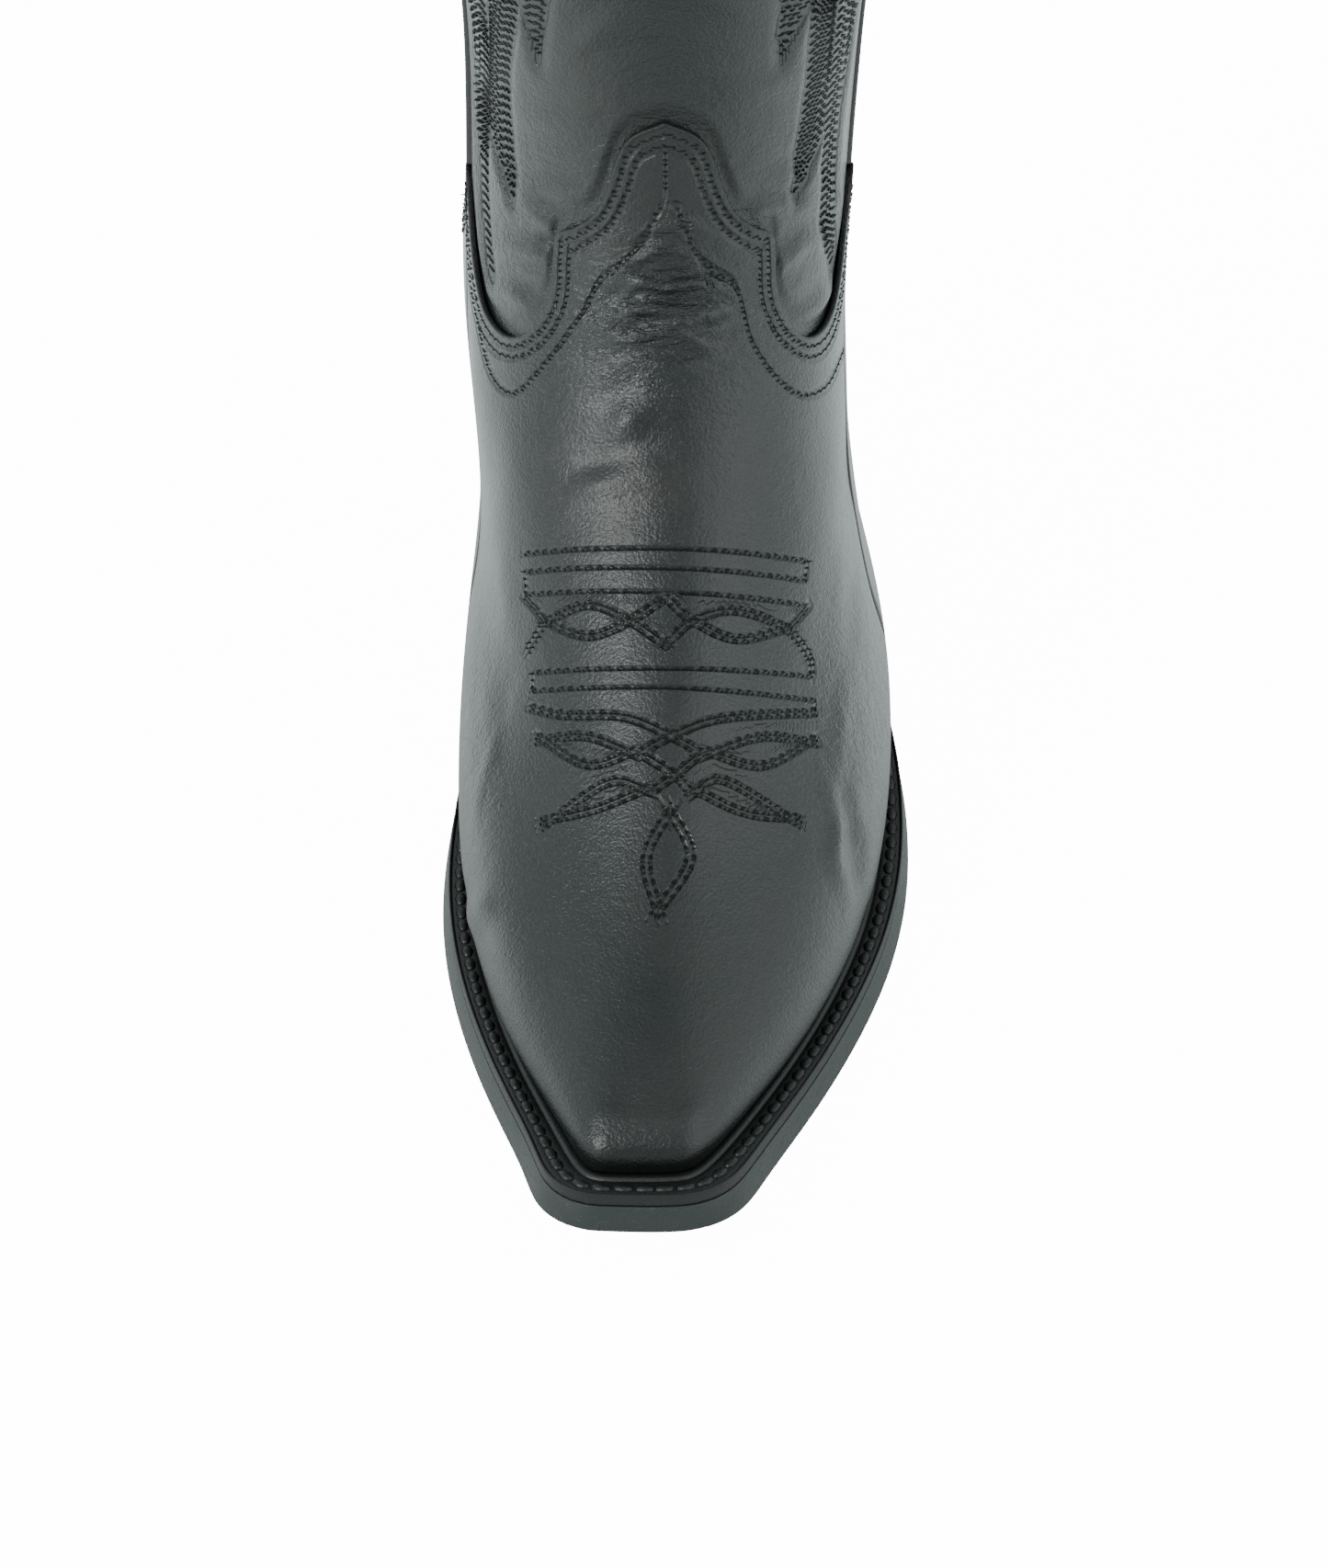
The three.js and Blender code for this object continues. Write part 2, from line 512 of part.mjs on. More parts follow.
// ---- Plates of the bottom ----
// A point of the sole's plan at a column, moved outwards from the edge of the upper.
function rim(column, offset) {
  const point = onForm(column, 0);
  const along = onForm(column + STEP, 0).sub(onForm(column - STEP, 0));
  const out = new THREE.Vector3(along.y, -along.x, 0).normalize();
  return point.addScaledVector(out, offset);
}
const showingShape = curve([[0, 7.4], [60, 7], [140, 6.6], [185, 4.2], [225, 2.8], [303, 2.6]]);
const showing = (column) => (WELT_SHOWING / 7) * showingShape(onForm(column, 0).y / kLength);

const TOE_COLUMN = 2.1;
const HEEL_COLUMN = 12.4;
// A plate between two heights over part of the sole's plan. The offset is from the edge of the upper.
function plate({ from = TOE_COLUMN, to = HEEL_COLUMN, offset, top, bottom, across = 4 }) {
  const columns = stations(from, to);
  const count = columns.length - 1;
  return bent([across, count, 1], (x, y, z) => {
    const station = Math.round(y * count);
    const column = columns[station];
    const t = 2 * x - 1;
    let point;
    if (station === 0 && from === TOE_COLUMN) {
      point = rim(from * t, offset(from * t, z));
    } else if (station === count && to === HEEL_COLUMN) {
      const round = LAST_COLUMN - (LAST_COLUMN - to) * t;
      point = rim(round, offset(round, z));
    } else {
      point = rim(-column, offset(-column, z)).lerp(rim(column, offset(column, z)), x);
    }
    point.z = z > 0.5 ? top(point.y) : bottom(point.y);
    return point;
  });
}
const below = (distance) => (y) => feather(y) - distance;
const SOLE_TOP = WELT_THICKNESS + CLEARANCE;
const INSOLE_LIFT = CLEARANCE; // the insole lies on the inner edge of the welt
const INSIDE = -UPPER_DEPTH - 1.6; // offset of the insole's edge, clear of the lining
const EDGE_FLARE = 1.6; // how far the sole's bottom edge stands out past its top edge

function insole() {
  const offset = () => INSIDE;
  const top = INSOLE_LIFT + INSOLE_THICKNESS;
  const bottom = below(-INSOLE_LIFT);
  const sockTop = top + CLEARANCE + SOCK_THICKNESS;
  const sock = plate({ offset, top: below(-sockTop), bottom: below(-top - CLEARANCE) });
  return [
    ["insole", plate({ offset, top: below(-top), bottom }), STIFFENER],
    ["sock_lining", sock, LINING],
  ];
}

const WAIST_END = 8.9; // column where the welt meets the heel rand
function welt() {
  const inset = (column) => showing(column) - WELT_WIDTH;
  const columns = stations(-WAIST_END, WAIST_END);
  const strip = bent([2, 1, columns.length - 1], (x, y, z) => {
    const column = columns[Math.round(z * (columns.length - 1))];
    const point = rim(column, lerp(inset(column), showing(column), x));
    point.z = feather(point.y) - (1 - y) * WELT_THICKNESS;
    return point;
  });
  add("welt", strip, WELT);
  const from = WAIST_END + 0.06;
  const rear = stations(from, 2 * LAST_COLUMN - from);
  const rand = bent([2, 1, rear.length - 1], (x, y, z) => {
    const column = rear[Math.round(z * (rear.length - 1))];
    const point = rim(column, lerp(showing(column) - RAND_WIDTH, showing(column), x));
    point.z = feather(point.y) - (1 - y) * WELT_THICKNESS;
    return point;
  });
  add("heel_rand", rand, WELT);
}

function fillerAndShank() {
  const offset = (column) => showing(column) - WELT_WIDTH - 0.8;
  const top = below(0);
  const bottom = below(WELT_THICKNESS);
  add("cork_filler", plate({ from: 2.5, to: 5.5, offset, top, bottom, across: 2 }), CORK);
  const shankTop = CLEARANCE;
  const strip = bent([1, 8, 1], (x, y, z) => {
    const along = SHANK.start * kLength + y * SHANK.length;
    const across = centre(along) + (x - 0.5) * SHANK.width;
    return new THREE.Vector3(across, along, feather(along) - shankTop - (1 - z) * SHANK.thickness);
  });
  add("shank", strip, STEEL);
}

function outsole() {
  const offset = (column, z) => showing(column) + (1 - z) * EDGE_FLARE * clamp(showing(column) / 7);
  const bottom = below(SOLE_TOP + OUTSOLE_THICKNESS);
  return [["outsole", plate({ offset, top: below(SOLE_TOP), bottom, across: 4 }), SOLE]];
}

// ---- Heel ----
const FOOT_BACK = 303; // where the sole ends behind, at the drawn length
const HEEL_RISE = SEAT_HEIGHT - BOTTOM_STACK; // floor to the underside of the sole at the back
const HEEL_SETBACK = 0.6; // how far the heel stays inside the back of the sole
const underslung = (z) => HEEL_UNDERSLUNG * (1 - clamp(z / HEEL_RISE)) ** 0.8;
const heelBack = (z) => FOOT_BACK * kLength - HEEL_SETBACK - underslung(z);
const heelFront = (z) => HEEL_BREAST * kLength + BREAST_SLOPE * (1 - z / HEEL_RISE);
const heelWidth = (z) => lerp(HEEL_FOOT_WIDTH, HEEL_TOP_WIDTH, clamp(z / HEEL_RISE));

// A point of the heel's D-shaped outline at a height: x runs across, y from the breast to the back.
const ROUND_SHARE = 0.62; // share of the heel's length that its half ellipse takes
const BACK_FLAT = 0.93; // how far round the half ellipse the outline goes before the last, straight cell
function heelPoint(x, y, height) {
  const [front, back, width] = [heelFront(height), heelBack(height), heelWidth(height)];
  const across = 2 * x - 1;
  const roundLength = ROUND_SHARE * (back - front);
  if (y <= 0.5) {
    const along = front + (back - front - roundLength) * 2 * y;
    return new THREE.Vector3((across * width * lerp(0.94, 1, 2 * y)) / 2, along, height);
  }
  const turn = (Math.PI / 2) * BACK_FLAT * (2 * y - 1);
  const half = (width / 2) * Math.cos(turn);
  return new THREE.Vector3(across * half, back - roundLength * (1 - Math.sin(turn)), height);
}
function heelSlice(low, high) {
  return bent([2, 10, 1], (x, y, z) => {
    const height = z > 0.5 ? high : low;
    const level = typeof height === "function" ? height : () => height;
    const flat = heelPoint(x, y, level(heelFront(0)));
    return heelPoint(x, y, level(flat.y));
  });
}
function heel() {
  const soleBottom = (y) => feather(Math.min(y, FOOT_BACK * kLength)) - BOTTOM_STACK - CLEARANCE;
  const stack = soleBottom(heelFront(HEEL_RISE)) - WEDGE_EDGE - CAP_THICKNESS - CLEARANCE;
  const liftThickness = stack / LIFT_COUNT - CLEARANCE;
  const pieces = [["heel_cap", heelSlice(0, CAP_THICKNESS), RUBBER]];
  let base = CAP_THICKNESS + CLEARANCE;
  for (let i = 1; i <= LIFT_COUNT; i++) {
    pieces.push([`heel_lift_${i}`, heelSlice(base, base + liftThickness), STACK]);
    base += liftThickness + CLEARANCE;
  }
  pieces.push(["heel_wedge", heelSlice(base, soleBottom), STACK]);
  return pieces;
}

// ---- Nails ----
// A nail is turned about Z, with its flat head at the bottom and its point up, or the other way round.
function nail(length, pointUp) {
  const { radius } = NAIL;
  const head = radius * 1.7;
  const outline = [[0, 0], [head, 0], [head, 1], [radius, 1.2], [radius * 0.9, length - 3], [0, length]];
  const lathe = new THREE.LatheGeometry(outline.map(([x, y]) => new THREE.Vector2(x, y)), 8);
  lathe.rotateX(pointUp ? Math.PI / 2 : -Math.PI / 2);
  return lathe;
}
const CAP_NAIL_LENGTH = 15;
function nails() {
  const [front, back] = [heelFront(0), heelBack(0)];
  const side = HEEL_FOOT_WIDTH / 2 - NAIL.inset;
  const spots = [[-side, front + NAIL.inset], [side, front + NAIL.inset], [-side, lerp(front, back, 0.55)],
    [side, lerp(front, back, 0.55)], [0, back - NAIL.inset]];
  const low = spots.map(([x, y]) => ({ at: new THREE.Vector3(x, y, NAIL.sink), length: CAP_NAIL_LENGTH, pointUp: true }));
  const behindShank = SHANK.start * kLength + SHANK.length + NAIL.inset;
  const high = [[0, behindShank], [-side / 2, behindShank + 16], [side / 2, behindShank + 16]].map(([x, y]) => ({
    at: new THREE.Vector3(x, y, feather(y) + INSOLE_LIFT + INSOLE_THICKNESS - NAIL.sink),
    length: NAIL.length,
    pointUp: false,
  }));
  return [...low, ...high];
}
function assembleBottom() {
  const all = nails();
  const holes = all.map(({ at, length, pointUp }) => {
    const hole = new THREE.CylinderGeometry(1, 1, 1, 8).rotateX(Math.PI / 2);
    const wide = NAIL.radius * 1.7 + CLEARANCE;
    const reach = length + 2 * CLEARANCE;
    hole.scale(wide, wide, reach);
    const middle = pointUp ? length / 2 : -length / 2;
    hole.translate(at.x, at.y, at.z + middle);
    return toSolid(hole);
  });
  for (const [name, geometry, material] of [...insole(), ...outsole(), ...heel()]) {
    if (name === "sock_lining") {
      add(name, geometry, material);
      continue;
    }
    let solid = toSolid(geometry);
    for (const hole of holes) solid = solid.subtract(hole);
    add(name, fromSolid(solid), material);
  }
  all.forEach(({ at, length, pointUp }, i) => {
    const name = pointUp ? `cap_nail_${i + 1}` : `heel_nail_${i - 4}`;
    add(name, closed(nail(length, pointUp).translate(at.x, at.y, at.z)), BRASS);
  });
}

vamp();
counterCover();
shaft();
sidePiping();
lining();
stiffeners();
topBinding();
pullStraps();
welt();
fillerAndShank();
assembleBottom();

// Stand the boot on the middle of its own bounding box.
const bounds = new THREE.Box3().setFromObject(boot);
boot.position.set(-(bounds.min.x + bounds.max.x) / 2, -(bounds.min.y + bounds.max.y) / 2, -bounds.min.z);

export default boot;
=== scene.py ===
"""A left cowboy boot: sewn leather sheets on one smooth form, with their threads, welt, sole and stacked heel."""

import math

import bmesh
import bpy
import numpy as np
from mathutils import Matrix, Vector
from mathutils.bvhtree import BVHTree
from mathutils.kdtree import KDTree


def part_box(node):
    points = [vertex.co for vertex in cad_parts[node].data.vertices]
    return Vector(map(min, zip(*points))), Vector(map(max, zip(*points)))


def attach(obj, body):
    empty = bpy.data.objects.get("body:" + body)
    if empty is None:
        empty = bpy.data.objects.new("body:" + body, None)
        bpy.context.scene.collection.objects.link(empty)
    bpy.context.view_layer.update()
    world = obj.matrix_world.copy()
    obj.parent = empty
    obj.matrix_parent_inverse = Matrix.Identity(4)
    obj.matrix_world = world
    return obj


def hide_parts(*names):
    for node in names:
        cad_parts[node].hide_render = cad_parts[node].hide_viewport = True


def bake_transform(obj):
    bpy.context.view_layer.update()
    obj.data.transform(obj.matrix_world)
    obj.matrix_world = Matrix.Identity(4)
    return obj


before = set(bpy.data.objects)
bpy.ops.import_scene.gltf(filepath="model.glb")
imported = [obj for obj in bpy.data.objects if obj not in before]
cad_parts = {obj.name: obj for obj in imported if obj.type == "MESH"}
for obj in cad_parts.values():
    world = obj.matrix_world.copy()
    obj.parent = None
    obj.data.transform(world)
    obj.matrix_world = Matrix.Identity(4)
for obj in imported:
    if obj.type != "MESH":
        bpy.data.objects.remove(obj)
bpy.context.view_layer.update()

bl_info = {
    "name": "Cowboy boot",
    "version": (1, 0, 0),
    "blender": (4, 5, 0),
    "location": "3D View > Sidebar > Boot",
    "description": "Makes a sewn leather cowboy boot round its solid model",
    "category": "Object",
}

# ---- Sizes of the boot, mm ----
SEAT_HEIGHT = 50.5
BOOT_HEIGHT = 345
TOE_SPRING = 12.5
FRONT_DIP, BACK_DIP = 30, 24
GAP = 0.4  # left between pieces that lie on each other
OUTER_LEATHER, SHAFT_LEATHER, LINING_LEATHER = 1.4, 1.3, 1.0
WELT_THICKNESS, OUTSOLE_THICKNESS = 3.5, 5.7
INSOLE_THICKNESS, SOCK_THICKNESS = 3.2, 1.2
SHAFT_DEPTH = OUTER_LEATHER + GAP
LINING_DEPTH = SHAFT_DEPTH + SHAFT_LEATHER + GAP
UPPER_DEPTH = LINING_DEPTH + LINING_LEATHER
BOTTOM_STACK = WELT_THICKNESS + GAP + OUTSOLE_THICKNESS
SEAM = 6  # column of the side seams

# ---- The form of the upper ----
LAST_COLUMN = 13
COLUMNS = 2 * LAST_COLUMN
WELT_SPREAD = [0, 0, 0.004, 0.06, 0.18, 0.35, 0.54, 0.65, 0.75, 0.84, 0.915, 0.972, 0.998, 1]
ROUNDNESS = 0.82  # below 1 the shaft's sides are fuller than an ellipse
# Front and back point (y, z), sweep, roundness, bow, swing, and the half widths or one half width.
LEVELS = [
    (8, 21.5, 300.5, 50.5, 1, 0, 0, 1, [7.3, 11.6, 18.6, 33.6, 47.4, 44, 33, 29.6, 30.6, 27.7, 20.6, 11.5]),
    (7.4, 25.5, 302.5, 58, 0.95, 0, 0, 0.85, [7.6, 12.8, 21.4, 38.6, 50.4, 50.2, 42, 36.5, 34.5, 30.5, 22.7, 12.5]),
    (10.5, 29.5, 303.5, 67, 0.8, 0, -0.8, 0.8, [7, 11.8, 20.6, 37.4, 49.4, 50.8, 44.8, 39, 36.2, 31.7, 23.5, 13]),
    (27, 34.5, 304, 76, 0.6, 0.3, -2, 0.75, [4.5, 10.3, 21, 36.5, 46.8, 47.6, 43.6, 40.6, 37.7, 32.7, 24.6, 13]),
    (52, 41, 303.5, 86, 0.45, 0.5, -1.8, 0.7, [5, 11.2, 21, 33.6, 42.4, 44.4, 43.2, 41.2, 38.6, 33.4, 25, 12.5]),
    (76, 51, 301.5, 97, 0.3, 0.65, -2.6, 0.6, [5.5, 12.1, 21.5, 31.8, 39.4, 43, 43.4, 42, 39.3, 33.5, 24.7, 12]),
    (99, 65, 298.5, 109, 0.2, 0.8, -3, 0.5, [6.5, 13.6, 22.5, 31.9, 39.3, 43.4, 44.4, 43.3, 39.9, 33.7, 24.3, 12]),
    (121, 80, 295.5, 122, 0.1, 0.9, -3.6, 0.4, [7.5, 15, 23.7, 32.4, 39.4, 43.7, 44.9, 43.6, 39.9, 33.3, 23.7, 11.8]),
    (143, 97, 293, 136, 0, 1, -2.6, 0.3, [8.5, 17, 26, 34, 40, 44, 45, 43.5, 39.5, 33, 23.5, 11.6]),
    (161, 118, 291.5, 151, 0, 1, -1.8, 0.2, [9.5, 19, 28, 35.5, 41.2, 44.6, 45, 43, 39, 32.5, 23, 11.5]),
    (173, 142, 292, 167, 0, 1, -0.6, 0.1, [10.5, 20.5, 29.5, 36.8, 42, 45, 45.4, 43.4, 39, 32.4, 23, 11.5]),
    (179.5, 170, 294, 187, 0, 1, 0.2, 0, 46.4),
    (182, 203, 297, 212, 0, 1, 0, 0, 50.6),
    (181.5, 240, 300.5, 243, 0, 1, 0, 0, 55),
    (178, 280, 304.5, 280, 0, 1, 0, 0, 59),
    (173.5, 320, 308, 320, 0, 1, 0, 0, 62.5),
    (171, 352, 310, 352, 0, 1, 0, 0, 64),
]
TOP_LEVEL = len(LEVELS) - 1


def lerp(a, b, t):
    return a + (b - a) * t


def smooth(t):
    t = np.clip(t, 0, 1)
    return t * t * (3 - 2 * t)


def unit(v):
    return v / np.maximum(np.linalg.norm(v, axis=-1, keepdims=True), 1e-12)


def curve(points):
    """A smooth curve through (x, y) points, flat past both ends."""
    xs, ys = np.array(points, float).T
    slope = np.empty_like(ys)
    slope[1:-1] = (ys[2:] - ys[:-2]) / (xs[2:] - xs[:-2])
    slope[0] = (ys[1] - ys[0]) / (xs[1] - xs[0])
    slope[-1] = (ys[-1] - ys[-2]) / (xs[-1] - xs[-2])

    def value(x):
        x = np.clip(np.asarray(x, float), xs[0], xs[-1])
        i = np.clip(np.searchsorted(xs, x, side="right") - 1, 0, len(xs) - 2)
        h = xs[i + 1] - xs[i]
        t = (x - xs[i]) / h
        rise = (2 * t**3 - 3 * t**2 + 1) * ys[i] + (3 * t**2 - 2 * t**3) * ys[i + 1]
        return rise + h * ((t**3 - 2 * t**2 + t) * slope[i] + (t**3 - t**2) * slope[i + 1])

    return value


spring_shape = curve([(0, 1), (30, 0.54), (60, 0.21), (85, 0.04), (100, 0), (303, 0)])
pitch_shape = curve([(0, 0), (122, 0), (150, 0.1), (180, 0.345), (215, 0.665), (245, 0.87), (303, 1)])
swing_shape = curve(
    [(0, -6.5), (17, -3.9), (54, -1.6), (95, 1), (135, 4.3), (165, 5.3), (200, 3.6), (245, 1), (303, 0)]
)
vamp_shape = curve(
    [(0, 10.9), (0.55, 10.78), (0.8, 10.64), (1.05, 10.38), (1.4, 10.12), (1.9, 9.92), (2.5, 9.68),
     (2.6, 9.3)]
    + [(2.85, 8.98), (3.3, 8.66), (4, 8.3), (4.7, 8.07), (5.2, 8.03), (5.6, 8.26), (5.82, 8.62), (6, 9.05)]
)
counter_shape = curve(
    [(6, 9.05), (6.2, 8.6), (6.5, 8.15), (7.2, 7.7), (8.4, 7.75), (9.8, 8.4), (11.2, 9.4), (12.2, 9.95),
     (13, 10.3)]
)
dip_shape = curve(
    [(0, 1), (0.5, 0.93), (1.6, 0.62), (3, 0.3), (4.6, 0.08), (6, 0)]
    + [(8, 0.1), (10, 0.35), (11.4, 0.66), (12.5, 0.94), (13, 1)]
)
showing_shape = curve([(0, 7.4), (60, 7), (140, 6.6), (185, 4.2), (225, 2.8), (303, 2.6)])


def feather(y):
    """Height of the top of the welt along the boot."""
    return BOTTOM_STACK + TOE_SPRING * spring_shape(y) + (SEAT_HEIGHT - BOTTOM_STACK) * pitch_shape(y)


def control_net():
    net = []
    for number, (front_y, front_z, back_y, back_z, sweep, rounded, bow, swing, half) in enumerate(LEVELS):
        ring = []
        for column in range(COLUMNS):
            j = min(column, COLUMNS - column)
            turn = math.pi * j / LAST_COLUMN
            s = lerp(WELT_SPREAD[j], (1 - math.cos(turn)) / 2, rounded)
            y = lerp(front_y, back_y, s)
            swept = feather(y) - lerp(feather(front_y), feather(back_y), s)
            z = lerp(front_z, back_z, s) + sweep * swept if number else feather(y)
            if isinstance(half, list):
                reach = half[j - 1] if 0 < j < LAST_COLUMN else 0
            else:
                reach = half * abs(math.sin(turn)) ** ROUNDNESS
            side = 1 if column <= LAST_COLUMN else -1
            ring.append((swing_shape(y) * swing + side * reach + bow * math.sin(turn), y, z))
        net.append(ring)
    net = np.array(net, float)
    return np.concatenate([[2 * net[0] - net[1]], net, [2 * net[-1] - net[-2]]])


NET = control_net()
TINY = 0.02


def weights(t):
    return [(1 - t) ** 3 / 6, (3 * t**3 - 6 * t**2 + 4) / 6, (-3 * t**3 + 3 * t**2 + 3 * t + 1) / 6, t**3 / 6]


def on_form(column, level):
    """The outside of the boot at a column and a level."""
    column, level = np.broadcast_arrays(np.asarray(column, float), np.asarray(level, float))
    row = np.floor(np.clip(level, 0, TOP_LEVEL - 1e-9)).astype(int)
    first = np.floor(column).astype(int)
    up, round_ = weights(level - row), weights(column - first)
    point = np.zeros(column.shape + (3,))
    for r in range(4):
        for c in range(4):
            point += NET[row + r, (first + c - 1) % COLUMNS] * (up[r] * round_[c])[..., None]
    return point


def outward(column, level):
    low = np.clip(level, TINY, TOP_LEVEL - TINY)
    along = on_form(column + TINY, low) - on_form(column - TINY, low)
    up = on_form(column, low + TINY) - on_form(column, low - TINY)
    return unit(np.cross(along, up))


def at_depth(column, level, depth):
    """A point below the outside of the boot; near the welt the depth is measured level with the sole."""
    column, level = np.broadcast_arrays(np.asarray(column, float), np.asarray(level, float))
    out = outward(column, level)
    flat = unit(out * (1, 1, 0))
    out = unit(lerp(out, flat, (1 - smooth(level / 1.5))[..., None]))
    return on_form(column, level) - out * np.asarray(depth)[..., None]


def from_back(column):
    return LAST_COLUMN - np.abs(LAST_COLUMN - np.abs(column))


def vamp_top(column):
    return vamp_shape(np.abs(column))


def counter_top(column):
    return counter_shape(from_back(column))


def level_at_height(column, height):
    low, high = np.full(np.shape(column), 4.0), np.full(np.shape(column), float(TOP_LEVEL))
    for _ in range(26):
        middle = (low + high) / 2
        under = on_form(column, middle)[..., 2] < height
        low, high = np.where(under, middle, low), np.where(under, high, middle)
    return (low + high) / 2


def top_line(column):
    j = from_back(column)
    return level_at_height(column, BOOT_HEIGHT - dip_shape(j) * np.where(j < SEAM, FRONT_DIP, BACK_DIP))


def shifted(line, distance):
    """A line at a distance above another one, measured up the form."""

    def moved(column):
        level = line(column)
        rise = np.linalg.norm(on_form(column, level - TINY) - on_form(column, level), axis=-1)
        return level + distance * TINY / rise

    return moved


def on_welt(column):
    return np.zeros(np.shape(column))


def rim(column, offset):
    """A point of the sole's plan, moved outwards from the edge of the upper."""
    along = on_form(column + TINY, 0) - on_form(column - TINY, 0)
    out = unit(np.stack([along[..., 1], -along[..., 0], 0 * along[..., 0]], -1))
    return on_form(column, 0) + out * np.asarray(offset)[..., None]


FULL_SHOWING = 7  # mm of the sole that show beside the upper at the toe
CORNER_COLUMN, CORNER_SPREAD, CORNER_REACH = 2.15, 0.62, 0.9  # the toe's corners: columns, columns, mm
FRONT_BOW = 0.0022  # rounding of the toe's front edge, per mm


def outline(column, offset):
    """The outer edge of the sole's plan: like rim, with the toe's corners drawn out and its front cut straight."""
    away = (np.abs(from_front_line(column)) - CORNER_COLUMN) / CORNER_SPREAD
    corner = CORNER_REACH * np.asarray(offset) / FULL_SHOWING * np.exp(-(away**2))
    points = rim(column, offset + corner)
    front = rim(np.zeros(1), np.max(offset) * np.ones(1))[0, 1]
    points[..., 1] = np.maximum(points[..., 1], front + FRONT_BOW * points[..., 0] ** 2)
    return points


def from_front_line(column):
    """Columns counted from the front centre line, the shorter way round."""
    return (np.asarray(column) + LAST_COLUMN) % COLUMNS - LAST_COLUMN


def showing(column):
    return showing_shape(on_form(column, 0)[..., 1])


# ---- The heel's outline ----
HEEL_BREAST, HEEL_TOP_WIDTH, HEEL_FOOT_WIDTH = 229, 66, 57
HEEL_UNDERSLUNG, BREAST_SLOPE, HEEL_BACK = 15, 5, 302.4
HEEL_RISE = SEAT_HEIGHT - BOTTOM_STACK
CAP_THICKNESS, LIFT_COUNT, WEDGE_EDGE = 6, 4, 1


def heel_back(z):
    return HEEL_BACK - HEEL_UNDERSLUNG * (1 - np.clip(z / HEEL_RISE, 0, 1)) ** 0.8


def heel_front(z):
    return HEEL_BREAST + BREAST_SLOPE * (1 - z / HEEL_RISE)


def heel_width(z):
    return lerp(HEEL_FOOT_WIDTH, HEEL_TOP_WIDTH, np.clip(z / HEEL_RISE, 0, 1))


CAP_LOW, CAP_HIGH = (np.array(corner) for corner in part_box("heel_cap"))
SHIFT = np.array([(CAP_LOW[0] + CAP_HIGH[0]) / 2, CAP_LOW[1] - heel_front(CAP_THICKNESS) / 1000, CAP_LOW[2]])


def to_frame(points):
    """From millimetres on the form to the frame's metres."""
    return np.asarray(points, float) / 1000 + SHIFT


# ---- Meshes ----
def grid(columns, rows, points):
    """A sheet of cells, its corners moved to the given points, in metres."""
    bm = bmesh.new()
    bmesh.ops.create_grid(bm, x_segments=columns, y_segments=rows, size=0.5)
    for vert, point in zip(bm.verts, np.asarray(points).reshape(-1, 3)):
        vert.co = point
    return bm


def walled(bm, inner):
    """Gives a sheet its other face, with walls round its edge."""
    order = bm.verts.layers.int.new("order")
    for i, vert in enumerate(bm.verts):
        vert[order] = i
    inner = np.asarray(inner).reshape(-1, 3)
    made = bmesh.ops.extrude_face_region(bm, geom=list(bm.faces))
    for item in made["geom"]:
        if isinstance(item, bmesh.types.BMVert):
            item.co = inner[item[order]]
    bm.verts.layers.int.remove(order)
    bmesh.ops.recalc_face_normals(bm, faces=list(bm.faces))


def bevel_corners(bm, width, angle=0.7, segments=3):
    """Rounds every edge that turns by more than an angle."""
    edges = [e for e in bm.edges if len(e.link_faces) == 2 and e.calc_face_angle(0) > angle]
    bmesh.ops.bevel(
        bm, geom=edges, offset=width, offset_type="OFFSET", segments=segments, profile=0.5,
        affect="EDGES", material=-1, clamp_overlap=True,
    )


def finish_piece(bm, name, material, body, replaced=()):
    """Makes the object of a finished bmesh, rides it on its body and hides the parts that it replaces."""
    mesh = bpy.data.meshes.new(name)
    bm.to_mesh(mesh)
    bm.free()
    mesh.shade_smooth()
    piece = bpy.data.objects.new(name, mesh)
    bpy.context.scene.collection.objects.link(piece)
    mesh.materials.append(material)
    if body:
        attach(piece, body)
    if replaced:
        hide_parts(*replaced)
    return piece


def sharpen(piece, degrees=38):
    piece.data.set_sharp_from_angle(angle=math.radians(degrees))


# ---- Sheets of leather on the form ----
ROLL = 0.65  # radius of a cut edge's rounded corner
ROLL_ROWS = (1.3, 0.75, 0.42, 0.2, 0.06, 0)  # distances of the last rows below a cut edge


SOFT = 9  # columns of a sheet on each side over which the corners of its upper edge are smoothed


def leather_rows(columns, low, high, rows):
    """Levels of rows between two lines, closer at the upper one; away from it they run smoothly past its corners."""
    bottom, top = low(columns), high(columns)
    share = np.linspace(0, 1, 120)[:, None]
    levels = lerp(bottom, top, share)
    steps = np.linalg.norm(np.diff(on_form(columns, levels), axis=0), axis=-1)
    length = np.concatenate([np.zeros((1, len(columns))), np.cumsum(steps, axis=0)])
    found, below = [], []
    even = rows + 1 - len(ROLL_ROWS)
    share = np.linspace(0, 1, even + 1)[:-1]
    softened = np.convolve(np.pad(length[-1], SOFT, mode="edge"), np.ones(2 * SOFT + 1) / (2 * SOFT + 1), "valid")
    for i in range(len(columns)):
        total = length[-1, i]
        corner = total - ROLL_ROWS[0] - softened[i]
        wanted = np.concatenate([softened[i] * share + corner * share**4, total - np.array(ROLL_ROWS)])
        found.append(np.interp(wanted, length[:, i], levels[:, i]))
        below.append(total - wanted)
    return np.array(found).T, np.array(below).T


